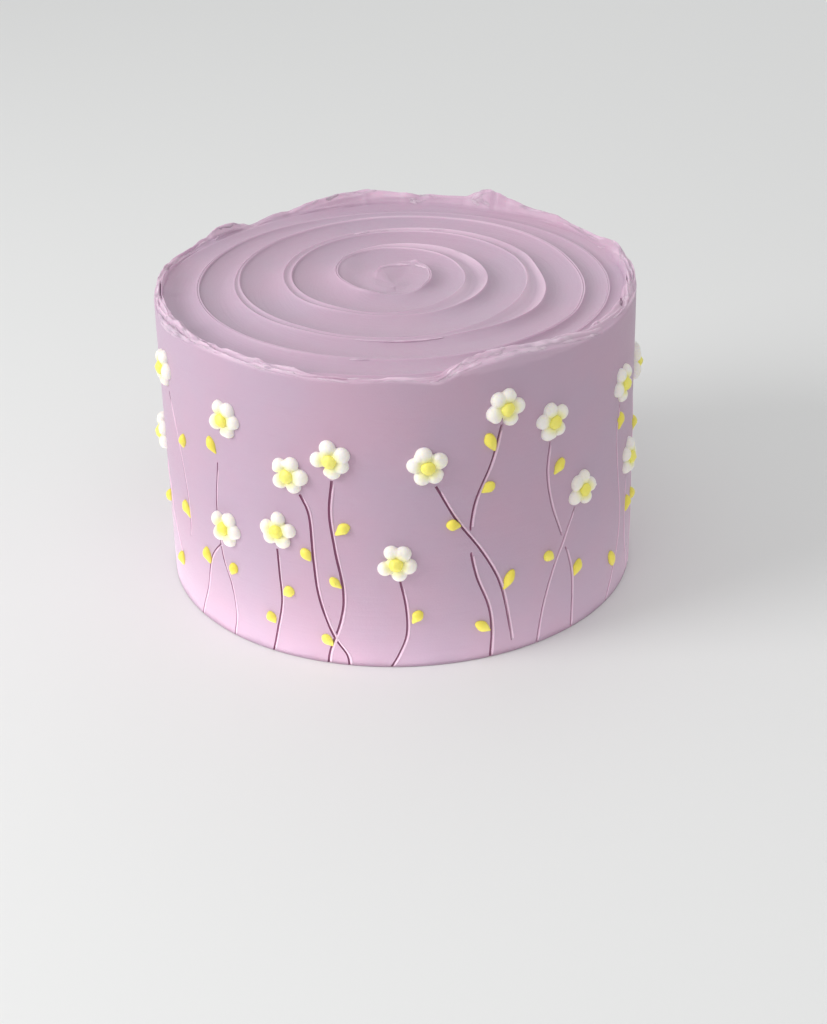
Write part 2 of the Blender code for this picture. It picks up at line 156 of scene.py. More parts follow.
def joinAll(objects, name):
    deselectAll()
    for obj in objects:
        obj.select_set(True)
    bpy.context.view_layer.objects.active = objects[0]
    bpy.ops.object.join()
    joined = bpy.context.active_object
    joined.name = name
    joined.data.name = name
    return joined


def paintPoints(obj, name, valueAt):
    # a value at each point, which the finishes read
    layer = obj.data.attributes.new(name, "FLOAT", "POINT")
    for vert, item in zip(obj.data.vertices, layer.data):
        item.value = valueAt(vert.co)


def coverWith(obj, icing):
    obj.data.materials.clear()
    obj.data.materials.append(icing)
    pick(obj)
    bpy.ops.object.shade_smooth()


def anyOffset(draws):
    # a place of its own in the noise, so that no two pieces are alike
    return Vector((draws.uniform(0, 9), draws.uniform(0, 9), draws.uniform(0, 9)))


def applyAll(obj):
    pick(obj)
    for modifier in list(obj.modifiers):
        bpy.ops.object.modifier_apply(modifier=modifier.name)


def mergeAndTurnOut(obj, distance):
    pick(obj)
    bpy.ops.object.mode_set(mode="EDIT")
    bpy.ops.mesh.select_all(action="SELECT")
    bpy.ops.mesh.remove_doubles(threshold=distance)
    bpy.ops.mesh.normals_make_consistent(inside=False)
    bpy.ops.object.mode_set(mode="OBJECT")


# Finishes

def newGroup(name, inputs, outputs):
    group = bpy.data.node_groups.new(name, "ShaderNodeTree")
    for socket, kind in inputs:
        group.interface.new_socket(socket, in_out="INPUT", socket_type=kind)
    for socket, kind in outputs:
        group.interface.new_socket(socket, in_out="OUTPUT", socket_type=kind)
    return group


def addNode(tree, kind, **settings):
    node = tree.nodes.new(kind)
    for key, value in settings.items():
        if key in node.bl_rna.properties:
            setattr(node, key, value)
        else:
            node.inputs[key].default_value = value
    return node


def maths(tree, operation, a, b=0.0):
    node = tree.nodes.new("ShaderNodeMath")
    node.operation = operation
    for socket, value in zip(node.inputs, (a, b)):
        if isinstance(value, (int, float)):
            socket.default_value = value
        else:
            tree.links.new(value, socket)
    return node.outputs[0]


def vectorMaths(tree, operation, *values):
    node = tree.nodes.new("ShaderNodeVectorMath")
    node.operation = operation
    for socket, value in zip(node.inputs, values):
        if isinstance(value, tuple):
            socket.default_value = value
        else:
            tree.links.new(value, socket)
    return node.outputs


def ramp(tree, value, low, high, toLow=0.0, toHigh=1.0):
    node = tree.nodes.new("ShaderNodeMapRange")
    node.interpolation_type = "SMOOTHSTEP"
    tree.links.new(value, node.inputs["Value"])
    for socket, number in zip(("From Min", "From Max", "To Min", "To Max"), (low, high, toLow, toHigh)):
        node.inputs[socket].default_value = number
    return node.outputs["Result"]


def mixColour(tree, factor, a, b):
    node = tree.nodes.new("ShaderNodeMix")
    node.data_type = "RGBA"
    tree.links.new(factor, node.inputs["Factor"])
    for socket, value in ((node.inputs["A"], a), (node.inputs["B"], b)):
        if isinstance(value, tuple):
            socket.default_value = (*value, 1.0)
        else:
            tree.links.new(value, socket)
    return node.outputs["Result"]


whipped = {
    "mottleScale": 24.0,
    "bubbleSize": (0.05, 0.16),  # smallest, and how much larger: shares of a cell
}


def makeCreamGroup():
    # whipped icing close up: soft mottling, fine grain and a few burst bubbles
    group = newGroup(
        "whippedCream",
        [("Vector", "NodeSocketVector"), ("Grain Scale", "NodeSocketFloat"),
         ("Bubble Scale", "NodeSocketFloat"), ("Bubble Share", "NodeSocketFloat")],
        [("Mottle", "NodeSocketFloat"), ("Grain", "NodeSocketFloat"), ("Bubbles", "NodeSocketFloat")],
    )
    start = group.nodes.new("NodeGroupInput")
    end = group.nodes.new("NodeGroupOutput")
    links = group.links
    mottle = addNode(
        group, "ShaderNodeTexNoise", Scale=whipped["mottleScale"], Detail=3.0, Roughness=0.55,
    )
    links.new(start.outputs["Vector"], mottle.inputs["Vector"])
    links.new(ramp(group, mottle.outputs[0], 0.3, 0.7), end.inputs["Mottle"])
    grain = addNode(group, "ShaderNodeTexNoise", Detail=4.0, Roughness=0.6)
    links.new(start.outputs["Vector"], grain.inputs["Vector"])
    links.new(start.outputs["Grain Scale"], grain.inputs["Scale"])
    links.new(grain.outputs[0], end.inputs["Grain"])
    cells = addNode(group, "ShaderNodeTexVoronoi", Randomness=1.0)
    links.new(start.outputs["Vector"], cells.inputs["Vector"])
    links.new(start.outputs["Bubble Scale"], cells.inputs["Scale"])
    draw = group.nodes.new("ShaderNodeSeparateColor")
    links.new(cells.outputs["Color"], draw.inputs["Color"])
    chosen = maths(group, "LESS_THAN", draw.outputs[0], start.outputs["Bubble Share"])
    smallest, larger = whipped["bubbleSize"]
    size = maths(group, "ADD", maths(group, "MULTIPLY", draw.outputs[1], larger), smallest)
    depth = maths(group, "DIVIDE", cells.outputs["Distance"], size)
    hole = ramp(group, depth, 0.55, 1.0, 1.0, 0.0)
    links.new(maths(group, "MULTIPLY", hole, chosen), end.inputs["Bubbles"])
    return group


sweeps = {"lengthScale": 9.0, "widthScale": 620.0}  # long one way, narrow the other


def makeSweepGroup():
    # marks that the scraper and the spatula leave: level on the side, round the middle on the top
    group = newGroup(
        "sweepMarks",
        [("Vector", "NodeSocketVector")],
        [("Side", "NodeSocketFloat"), ("Top", "NodeSocketFloat")],
    )
    start = group.nodes.new("NodeGroupInput")
    end = group.nodes.new("NodeGroupOutput")
    links = group.links
    split = group.nodes.new("ShaderNodeSeparateXYZ")
    links.new(start.outputs["Vector"], split.inputs[0])
    x, y, z = split.outputs
    squares = [maths(group, "POWER", value, 2) for value in (x, y)]
    reach = maths(group, "SQRT", maths(group, "ADD", *squares))
    for name, across in (("Side", z), ("Top", reach)):
        place = group.nodes.new("ShaderNodeCombineXYZ")
        links.new(maths(group, "MULTIPLY", x, sweeps["lengthScale"]), place.inputs[0])
        links.new(maths(group, "MULTIPLY", y, sweeps["lengthScale"]), place.inputs[1])
        links.new(maths(group, "MULTIPLY", across, sweeps["widthScale"]), place.inputs[2])
        marks = addNode(group, "ShaderNodeTexNoise", Scale=1.0, Detail=3.0, Roughness=0.65)
        links.new(place.outputs[0], marks.inputs["Vector"])
        links.new(marks.outputs[0], end.inputs[name])
    return group


creamGroup = makeCreamGroup()
sweepGroup = makeSweepGroup()


def placeGroup(tree, group, place, **values):
    node = tree.nodes.new("ShaderNodeGroup")
    node.node_tree = group
    tree.links.new(place, node.inputs["Vector"])
    for key, value in values.items():
        node.inputs[key.replace("_", " ")].default_value = value
    return node.outputs


def newIcing(name, finish):
    # a soft shader with the whipped grain beside it
    material = bpy.data.materials.new(name)
    material.use_nodes = True
    tree = material.node_tree
    shader = tree.nodes["Principled BSDF"]
    shader.inputs["Roughness"].default_value = finish["roughness"]
    shader.inputs["Subsurface Weight"].default_value = finish["softness"]
    shader.inputs["Subsurface Radius"].default_value = finish["softRadius"]
    shader.inputs["Subsurface Scale"].default_value = finish["softDepth"]
    shader.inputs["Specular IOR Level"].default_value = finish["specular"]
    place = tree.nodes.new("ShaderNodeTexCoord").outputs["Object"]
    cream = placeGroup(
        tree, creamGroup, place, Grain_Scale=finish["grainScale"],
        Bubble_Scale=finish["bubbleScale"], Bubble_Share=finish["bubbleShare"],
    )
    return material, tree, shader, place, cream


def addBump(tree, shader, height, distance):
    bump = addNode(tree, "ShaderNodeBump", Strength=1.0, Distance=distance)
    tree.links.new(height, bump.inputs["Height"])
    tree.links.new(bump.outputs[0], shader.inputs["Normal"])


lilac = {
    "pink": (0.556, 0.374, 0.486),
    "grey": (0.520, 0.383, 0.497),
    # painted light: the top is tinted greyer, as cooler light from above would leave it
    "topPinkPaintedLight": (0.542, 0.384, 0.492),
    "topGreyPaintedLight": (0.516, 0.390, 0.494),
    "paleAndHighlight": (0.77, 0.575, 0.70),  # thin torn icing of the lip, paler of itself, and a painted highlight on its folds, the crests and the smears
    # painted shade: dark colour for the thin creases beside the ridges
    "crease": (0.36, 0.24, 0.325),
    # painted shade: dark colour in the pits of burst bubbles
    "pitShade": (0.28, 0.14, 0.26),
    # painted shade: dark plum inside the scored stems, deep and faint
    "deepGrooveShade": (0.30, 0.115, 0.205),
    "faintGrooveShade": (0.43, 0.245, 0.355),
    # painted highlight: pale colour for groove walls turned towards the key light
    "grooveWallHighlight": (0.70, 0.47, 0.60),
    # painted highlight: pale pink on the icing thrown up beside the stems, as if lit
    "burr": (0.80, 0.56, 0.70),
    "highlightFacing": (0.25, 0.85),  # how far a groove's wall is turned towards the key light's side, where its painted highlight comes in
    "topStarts": (0.1090, 0.1115),  # heights between which the side's finish becomes the top's, with the top's painted light tint
    # from the middle of the base, the top lies 0.113 to 0.140 away, and the lip further out
    "lipStarts": (0.1380, 0.1425),
    "bubbleShade": 0.7,
    "roughness": 0.5,
    "roughRange": (0.42, 0.58),
    "specular": 0.4,
    "softness": 0.35,
    "softRadius": (1.0, 0.62, 0.8),
    "softDepth": 0.0016,
    "grainScale": 1500.0,
    "bubbleScale": 150.0,
    "bubbleShare": 0.035,
    "relief": 0.00022,
    "reliefShares": (0.5, 0.22, 0.9),  # of the sweeps, the grain and the bubbles
    "grooveRelief": 0.00012,
}


def makeLilac(name, groove=None):
    material, tree, shader, place, cream = newIcing(name, lilac)
    if groove:
        # which wall of the groove: its normal against the way round the side
        normal = tree.nodes.new("ShaderNodeNewGeometry").outputs["Normal"]
        across = vectorMaths(tree, "CROSS_PRODUCT", place, (0.0, 0.0, 1.0))["Vector"]
        along = vectorMaths(tree, "NORMALIZE", across)["Vector"]
        facing = vectorMaths(tree, "DOT_PRODUCT", normal, along)["Value"]
        # painted highlight: walls turned towards the key light's side go pale, over the colour given, the
        # groove's painted shade or the burr's painted highlight
        paleAndHighlight = ramp(tree, facing, *lilac["highlightFacing"])
        tree.links.new(mixColour(tree, paleAndHighlight, groove, lilac["grooveWallHighlight"]), shader.inputs["Base Color"])
        addBump(tree, shader, cream["Grain"], lilac["grooveRelief"])
        return material
    marks = placeGroup(tree, sweepGroup, place)
    split = tree.nodes.new("ShaderNodeSeparateXYZ")
    tree.links.new(place, split.inputs[0])
    onTop = ramp(tree, split.outputs[2], *lilac["topStarts"])
    onSideWall = maths(tree, "SUBTRACT", 1.0, onTop)
    streaks = maths(
        tree, "ADD", maths(tree, "MULTIPLY", marks["Top"], onTop),
        maths(tree, "MULTIPLY", marks["Side"], onSideWall),
    )
    colour = mixColour(tree, cream["Mottle"], lilac["pink"], lilac["grey"])
    # painted light: a greyer tint on the top inside the lip
    topPaintedLight = mixColour(tree, cream["Mottle"], lilac["topPinkPaintedLight"], lilac["topGreyPaintedLight"])
    reach = vectorMaths(tree, "LENGTH", place)["Value"]
    within = maths(tree, "MULTIPLY", onTop, ramp(tree, reach, *lilac["lipStarts"], 1.0, 0.0))
    colour = mixColour(tree, within, colour, topPaintedLight)
    # above nought the icing is thin and pale with a painted highlight, below it lies in a crease with
    # painted shade
    thin = addNode(tree, "ShaderNodeAttribute", attribute_name="thinIcingAndPaintedLight").outputs["Fac"]
    colour = mixColour(tree, thin, colour, lilac["paleAndHighlight"])
    colour = mixColour(tree, maths(tree, "MULTIPLY", thin, -1.0), colour, lilac["crease"])
    # painted shade in the bubbles' pits, on the side only; the pits are also sunk by the bump
    bubbles = maths(tree, "MULTIPLY", cream["Bubbles"], onSideWall)
    holes = maths(tree, "MULTIPLY", bubbles, lilac["bubbleShade"])
    tree.links.new(mixColour(tree, holes, colour, lilac["pitShade"]), shader.inputs["Base Color"])
    rough = ramp(tree, cream["Grain"], 0.3, 0.7, *lilac["roughRange"])
    tree.links.new(rough, shader.inputs["Roughness"])
    bySweeps, byGrain, byBubbles = lilac["reliefShares"]
    height = maths(tree, "MULTIPLY", streaks, bySweeps)
    height = maths(tree, "ADD", height, maths(tree, "MULTIPLY", cream["Grain"], byGrain))
    height = maths(tree, "SUBTRACT", height, maths(tree, "MULTIPLY", bubbles, byBubbles))
    addBump(tree, shader, height, lilac["relief"])
    return material


piped = {
    "white": (0.95, 0.905, 0.85),
    "whiteShade": (0.92, 0.875, 0.80),
    "whiteByHeart": (0.94, 0.90, 0.46),
    "heart": (0.95, 0.89, 0.23),
    "heartShade": (0.93, 0.84, 0.16),
    "leaf": (0.91, 0.83, 0.16),
    "leafShade": (0.87, 0.74, 0.10),
    "roughness": 0.42,
    "specular": 0.4,
    "softness": 0.4,
    "softRadius": (1.0, 0.85, 0.5),
    "softDepth": 0.0011,
    "grainScale": 1800.0,
    "bubbleScale": 420.0,
    "bubbleShare": 0.03,
    "relief": 0.00016,
    "grainRelief": 0.5,
}


def makePiped(name, colour, shade, byHeart=None):
    material, tree, shader, _, cream = newIcing(name, piped)
    tint = mixColour(tree, cream["Mottle"], colour, shade)
    if byHeart:
        near = addNode(tree, "ShaderNodeAttribute", attribute_name="nearHeart")
        tint = mixColour(tree, near.outputs["Fac"], tint, byHeart)
    tree.links.new(tint, shader.inputs["Base Color"])
    grain = maths(tree, "MULTIPLY", cream["Grain"], piped["grainRelief"])
    addBump(tree, shader, maths(tree, "SUBTRACT", grain, cream["Bubbles"]), piped["relief"])
    return material


lilacIcing = makeLilac("lilacIcing")
# groove finishes: painted shade inside, and a painted highlight on walls facing the key light
deepPaintedLightIcing = makeLilac("deepGroovePaintedLight", groove=lilac["deepGrooveShade"])
faintPaintedLightIcing = makeLilac("faintGroovePaintedLight", groove=lilac["faintGrooveShade"])
burrPaintedHighlight = makeLilac("burrPaintedHighlight", groove=lilac["burr"])
whiteIcing = makePiped("whiteIcing", piped["white"], piped["whiteShade"], piped["whiteByHeart"])
heartIcing = makePiped("heartIcing", piped["heart"], piped["heartShade"])
leafIcing = makePiped("leafIcing", piped["leaf"], piped["leafShade"])
print("finishes made")


# The swept top

top = {
    "troughDepth": 0.0024,
    "fullDepthWidth": 0.014,  # a narrower trough is shallower
    "bottomShare": 0.42,  # where the trough is deepest, out from its inner ridge
    "innerPower": 2.4,
    "outerPower": 2.0,
    "middleSunk": 0.55,  # share of the depth that the top's middle and a sunken ridge lie lower
    "ridgeWidth": 0.0012,
    "gutterDepth": 0.17,  # share of the width between twin ridges
    "gutterPower": 1.6,
    "burr": 0.00042,  # thin edge that the spatula leaves on a ridge
    "burrWidth": 0.00045,
    "peak": (2.26, 0.0205, 0.0009, 0.0016),  # pulled-up point: quarter turns, radius, height, spread
    "unevenness": 0.00014,
    "paintedCrestLight": 0.75,
    "crease": 0.00022,  # thin line pressed in beside a ridge, by the front and the left
    "creaseShade": 0.75,
    "lastQuarter": 21.0,
}

# Ridges of the spiral, measured from the cake's middle in millimetres. It runs out clockwise seen
# from above, and twin ridges stand where two strokes overlap: quarter turns from the front by the
# left, inner ridge, outer ridge.
spiralRidges = (
    (0.0, 0.3, 0.4), (0.8, 4.4, 4.9), (1.5, 9.4, 10.0), (1.75, 15.0, 15.7), (2.0, 17.6, 18.3),
    (2.2, 20.3, 21.0), (2.4, 18.8, 19.5), (2.67, 15.0, 15.8), (3.0, 12.0, 12.8),
    (3.33, 10.2, 10.9), (4.0, 9.6, 10.3), (4.33, 10.4, 11.1), (4.67, 13.6, 14.4),
    (5.0, 17.5, 18.4), (5.33, 25.0, 26.0), (5.67, 33.0, 34.4), (5.85, 35.3, 37.4),
    (6.0, 35.4, 39.3), (6.33, 32.8, 39.2), (6.67, 28.4, 36.4), (7.0, 26.2, 34.7),
    (7.33, 25.2, 33.2), (7.67, 25.8, 31.6), (8.0, 27.6, 30.6), (8.33, 29.6, 32.0),
    (8.67, 33.5, 37.0), (9.0, 37.9, 41.0), (9.33, 43.2, 46.5), (9.67, 49.5, 52.5),
    (10.0, 53.0, 56.3), (10.33, 53.6, 57.8), (10.67, 51.6, 56.6), (10.9, 50.1, 55.0),
    (11.17, 49.0, 57.2), (11.33, 49.1, 58.2), (11.5, 50.0, 57.0), (11.67, 50.8, 54.5),
    (12.0, 51.0, 53.2), (12.33, 51.8, 54.3), (12.67, 54.4, 57.6), (13.0, 58.1, 60.2),
    (13.2, 60.8, 61.9), (13.67, 66.5, 67.4), (14.0, 69.6, 70.5), (14.33, 70.3, 71.2),
    (14.83, 68.6, 69.5), (15.17, 70.8, 71.7), (15.33, 72.2, 73.1), (15.67, 71.8, 72.7),
    (16.0, 69.9, 70.7), (16.5, 71.4, 72.2), (17.0, 73.5, 74.3), (17.5, 75.6, 76.4),
    (18.0, 77.6, 78.4), (19.0, 79.2, 80.0), (20.0, 82.6, 83.2), (21.0, 87.0, 87.2),
)
# The ridges sink away near the front: quarter turns, share of their height left
ridgeHeights = (
    (0.0, 0.0), (1.5, 0.0), (1.8, 1.0), (3.0, 1.0), (3.5, 0.35), (4.2, 0.25), (4.7, 1.0),
    (7.2, 1.0), (7.8, 0.4), (8.2, 0.45), (8.6, 1.0), (11.3, 1.0), (11.9, 0.5), (12.2, 0.6),
    (12.6, 1.0), (15.5, 1.0), (15.9, 0.55), (16.2, 0.75), (16.6, 1.0), (17.4, 0.9),
    (18.0, 0.35), (19.0, 0.55), (20.0, 0.4), (21.0, 0.0),
)
troughShares = (
    0.0, 0.02, 0.05, 0.1, 0.17, 0.26, 0.36, 0.47, 0.58, 0.69, 0.79, 0.87, 0.93, 0.965, 0.985, 1.0,
)
gutterShares = (0.25, 0.5, 0.75, 1.0)

# The lip: angle, height of its crest above the top, width from the side to its inner foot
lipTable = (
    (-190, 0.0023, 0.0042), (-184, 0.0029, 0.0042), (-180, 0.0036, 0.0040), (-175, 0.0047, 0.0040),
    (-171, 0.0044, 0.0040), (-167, 0.0047, 0.0040), (-162, 0.0039, 0.0041), (-157, 0.0031, 0.0042),
    (-153, 0.0013, 0.0043), (-147, 0.0012, 0.0045), (-143, 0.0001, 0.0047), (-140, -0.0007, 0.0050),
    (-137, 0.0009, 0.0052), (-134, 0.0021, 0.0052), (-131, 0.0025, 0.0050), (-127, 0.0023, 0.0048),
    (-124.5, 0.0009, 0.0046), (-121, 0.0004, 0.0043), (-116, -0.0007, 0.0037), (-112, 0.0, 0.0034),
    (-106, 0.0010, 0.0034), (-100, 0.0027, 0.0032), (-94, 0.0027, 0.0031), (-86, 0.0020, 0.0034),
    (-75, 0.0018, 0.0045), (-60, 0.0016, 0.0050), (-48, 0.0020, 0.0040), (-28, 0.0017, 0.0036),
    (-14, 0.0004, 0.0026), (0, 0.0008, 0.0030), (8, 0.0004, 0.0030), (13, 0.0022, 0.0055),
    (18, 0.0045, 0.0072), (28, 0.0053, 0.0074), (42, 0.0038, 0.0066), (52, 0.0018, 0.0055),
    (62, 0.0015, 0.0060), (72, 0.0019, 0.0052), (84, 0.0024, 0.0044), (92, 0.0023, 0.0042),
    (96, 0.0033, 0.0043), (99, 0.0026, 0.0045), (103, 0.0041, 0.0048), (107, 0.0039, 0.0048),
    (112, 0.0027, 0.0046), (115, 0.0008, 0.0044), (118, 0.0003, 0.0042), (124, 0.0001, 0.0040),
    (128, 0.0009, 0.0040), (131, 0.0015, 0.0040), (133, 0.0025, 0.0040), (138, 0.0021, 0.0042),
    (142, 0.0025, 0.0043), (145, 0.0038, 0.0045), (148.5, 0.0050, 0.0048), (151, 0.0066, 0.0050),
    (153, 0.0070, 0.0050), (155, 0.0067, 0.0050), (158, 0.0049, 0.0048), (160.5, 0.0027, 0.0046),
    (165, 0.0021, 0.0045), (171, 0.0023, 0.0043), (173, 0.0018, 0.0043), (175, 0.0029, 0.0042),
    (180, 0.0036, 0.0040),
)
# Where the side turns into the lip: angle, level of that edge above the top
edgeTable = (
    (-181, 0.0028), (-150, 0.0004), (-144, -0.0004), (-140, -0.0012), (-136, -0.0003), (-131, 0.0006),
    (-120, 0.0006), (-100, 0.0006), (-80, -0.0006), (-58, -0.0005), (-50, 0.0012),
    (-44, 0.0009), (-37, 0.0004), (-26, -0.0002), (-12, -0.0005), (0, 0.0001),
    (5, -0.0008), (9, -0.0014), (11, -0.0006), (13.5, 0.0014), (18, 0.0029), (23, 0.0038),
    (28, 0.0044), (33, 0.0034), (39, 0.0024), (45, 0.0011), (53, -0.0003), (63, 0.0), (90, 0.0012),
    (111, 0.0015), (117, 0.0005), (127, 0.0006), (133, 0.0020), (152, 0.0036), (156, 0.0050),
    (161, 0.0030), (181, 0.0028),
)
lip = {
    "start": 0.1080,  # the side is smooth below this
    "rings": 9,
    "ringStep": 0.0004,  # how the rings are drawn before they are shaped
    "cuts": 3,
    "footDrop": 0.0008,
    # the sections: share along it, share of the width in from the side, and how much of the
    # level is that of the side below, of the outer edge and of the crest; the rest is the foot's
    "frontSection": (
        (0.0, 0.0, 1.0, 0.0, 0.0), (0.18, 0.0, 0.25, 0.75, 0.0), (0.26, 0.02, 0.05, 0.95, 0.0),
        (0.33, 0.09, 0.0, 0.95, 0.05), (0.46, 0.30, 0.0, 0.68, 0.32), (0.62, 0.56, 0.0, 0.30, 0.70),
        (0.76, 0.80, 0.0, 0.0, 1.0), (0.84, 0.91, 0.0, 0.0, 0.84), (0.92, 0.965, 0.0, 0.0, 0.40),
        (1.0, 1.0, 0.0, 0.0, 0.0),
    ),
    "backSection": (
        (0.0, 0.0, 1.0, 0.0, 0.0), (0.24, 0.0, 0.25, 0.75, 0.0), (0.36, 0.03, 0.0, 0.7, 0.3),
        (0.48, 0.18, 0.0, 0.0, 1.0), (0.60, 0.38, 0.0, 0.0, 0.80), (0.74, 0.60, 0.0, 0.0, 0.42),
        (0.87, 0.81, 0.0, 0.0, 0.12), (1.0, 1.0, 0.0, 0.0, 0.0),
    ),
    "frontEnds": (84, 112),  # degrees over which the one passes into the other
    "wander": 0.10,  # share of the width that the crest wanders in and out
    "tear": 0.0011,  # height of its torn places
    "tornAbove": 0.18,  # how strong the noise is where the lip is torn up or notched
    "notchedAbove": 0.22,
    "lean": 0.75,  # share of the section at which it points straight up
    "base": 0.0002,  # how far the folds are laid into it
}
folds = {
    "seed": 5,
    "count": 120,
    "length": (0.008, 0.036),
    "slope": 0.09,
    "height": (0.00016, 0.00055),
    "width": (0.0005, 0.0011),
    "steepness": 0.45,  # the inner flank is steeper
    "path": 0.012,  # length of the lip's section
    "shares": (0.30, 0.84),  # where across the lip they start
    "calm": (6, 50),  # degrees between which the lip is smoother
    "calmShare": 0.4,
}
# Folds of the lip that stand out: start angle and share across, end angle and share across,
# height, width
largeFolds = (
    (7, 0.30, 17, 0.72, 0.0010, 0.0012), (14, 0.66, 30, 0.80, 0.0006, 0.0009),
    (20, 0.44, 46, 0.62, 0.0004, 0.0008), (42, 0.74, 56, 0.52, 0.0007, 0.0010),
    (-78, 0.50, -52, 0.74, 0.0006, 0.0010), (-70, 0.36, -46, 0.56, 0.0005, 0.0009),
    (-56, 0.70, -44, 0.44, 0.0007, 0.0008), (-34, 0.42, -14, 0.66, 0.0005, 0.0009),
    (72, 0.50, 84, 0.76, 0.0007, 0.0010), (-100, 0.42, -86, 0.66, 0.0007, 0.0009),
    # crevices
    (69, 0.58, 75, 0.86, -0.0012, 0.0008), (79, 0.66, 87, 0.80, -0.0010, 0.0007),
    (47, 0.88, 56, 0.80, -0.0010, 0.0007), (-53, 0.60, -48, 0.90, -0.0011, 0.0008),
    (-92, 0.72, -80, 0.76, -0.0012, 0.0008), (-106, 0.60, -99, 0.76, -0.0010, 0.0007),
    (-136, 0.70, -124, 0.66, -0.0010, 0.0010), (-19, 0.55, -10, 0.66, -0.0006, 0.0006),
)


def drawFolds():
    draws = random.Random(folds["seed"])
    rows = [(math.radians(a) * cake["radius"], b, math.radians(c) * cake["radius"], d, e, f)
            for a, b, c, d, e, f in largeFolds]
    for _ in range(folds["count"]):
        start = draws.uniform(-math.pi, math.pi) * cake["radius"]
        length = draws.uniform(*folds["length"])
        share = draws.uniform(*folds["shares"])
        other = share + draws.uniform(-1, 1) * folds["slope"] * length / folds["path"]
        height = draws.uniform(*folds["height"])
        if folds["calm"][0] < math.degrees(start / cake["radius"]) < folds["calm"][1]:
            height *= folds["calmShare"]
        rows.append((start, share, start + length, other, height, draws.uniform(*folds["width"])))
    return rows


foldRows = drawFolds()
around = 2 * math.pi * cake["radius"]


def foldRise(along, share):
    rise = 0.0
    for start, shareIn, end, shareOut, height, width in foldRows:
        place = along if along >= start else along + around
        if place > end:
            continue
        t = (place - start) / (end - start)
        offset = (share - shareIn - (shareOut - shareIn) * t) * folds["path"] / width
        if offset > 0:
            offset /= folds["steepness"]
        if abs(offset) < 2.5:
            rise += height * math.exp(-(offset**2)) * math.sin(math.pi * t) ** 0.6
    return rise


def lipAt(angle):
    angle = (angle + 180) % 360 - 180
    return between(lipTable, angle)


def footPoint(angle):
    # inner foot of the lip, where the top begins
    width = lipAt(angle)[1]
    flat = outward(angle) * (cake["radius"] - width)
    return flat + Vector((0, 0, cake["topLevel"] - lip["footDrop"]))


def ridgeHeight(quarters):
    # how much of a ridge's height is left there; the curve runs a little past 1 in places
    return max(between(ridgeHeights, min(max(quarters, 0), top["lastQuarter"]))[0], 0.0)


def ridgeShare(quarters):
    return min(ridgeHeight(quarters), 1.0)


def unevenTop(flat):
    rough = noise.noise(Vector((flat.x, flat.y, 0.3)) * 55)
    rough += 0.5 * noise.noise(Vector((flat.x, flat.y, 0.7)) * 140)
    rim = cake["radius"] - lipAt(angleOf(flat))[1]
    quarters, radius, height, spread = top["peak"]
    peak = outward(-90 * quarters).to_2d() * radius
    pulled = height * bell((flat.to_2d() - peak).length, 0, spread)
    return top["unevenness"] * rough * smoothStep(rim, rim - 0.008, flat.length) + pulled


def ridgeLine(quarters, outer):
    if quarters >= top["lastQuarter"]:
        return footPoint(-90 * quarters)
    if quarters <= 0:
        return Vector((0, 0, cake["topLevel"] - top["troughDepth"] * top["middleSunk"]))
    radius = between(spiralRidges, quarters)[1 if outer else 0] * 0.001
    flat = outward(-90 * quarters) * radius
    share = ridgeShare(quarters)
    level = cake["topLevel"] - top["troughDepth"] * top["middleSunk"] * (1 - share)
    return flat + Vector((0, 0, level))


def creaseAt(quarters):
    # by the left and the front of each turn, and there in patches
    turn = quarters % 4
    place = smoothStep(-0.15, 0.25, turn) * smoothStep(1.6, 1.15, turn) + smoothStep(3.6, 3.9, turn)
    patchy = min(max(0.75 + 0.9 * noise.noise(Vector((quarters * 2.3, 7.1, 2.5))), 0.0), 1.0)
    return min(place, 1.0) * patchy * smoothStep(1.6, 2.4, quarters) * smoothStep(19.5, 18.5, quarters)


def topPoint(quarters, row):
    last = quarters >= top["lastQuarter"]
    inner = ridgeLine(quarters - 4, outer=True)
    twin = ridgeLine(quarters, outer=False)
    outer = ridgeLine(quarters, outer=True)
    if row < len(troughShares):
        share = troughShares[row]
        width = (twin.to_2d() - inner.to_2d()).length
        depth = top["troughDepth"] * min(width / top["fullDepthWidth"], 1.0)
        bottom = top["bottomShare"]
        if share < bottom:
            steep = 1 - (1 - share / bottom) ** top["innerPower"]
        else:
            steep = 1 - ((share - bottom) / (1 - bottom)) ** top["outerPower"]
        wall = ridgeShare(quarters - 4)
        begun = smoothStep(1.5, 2.2, quarters)
        sink = wall * steep + (1 - wall) * 0.5 * begun * math.sin(math.pi * share) ** 1.5
        point = inner.lerp(twin, share)
        level = wall * share + (1 - wall) * smoothStep(0, 1, share)
        point.z = inner.z + (twin.z - inner.z) * level - depth * sink
        # the edges stand up a little
        edge = min(share, 1 - share) * width
        ridge = ridgeHeight(quarters - 4 if share < 0.5 else quarters)
        if not last or share < 0.5:
            point.z += top["burr"] * ridge * math.exp(-edge / top["burrWidth"])
        if row == len(troughShares) - 3:
            point.z -= top["crease"] * creaseAt(quarters)
    else:
        share = gutterShares[row - len(troughShares)]
        width = (outer.to_2d() - twin.to_2d()).length
        point = twin.lerp(outer, share)
        ridge = ridgeHeight(quarters)
        dip = max(width - top["ridgeWidth"], 0.0) * top["gutterDepth"]
        dip *= 1 - abs(2 * share - 1) ** top["gutterPower"]
        if not last:
            point.z += top["burr"] * ridge * math.exp(-min(share, 1 - share) * width / top["burrWidth"])
        point.z -= dip
    point.z += unevenTop(point.to_2d().to_3d())
    return point


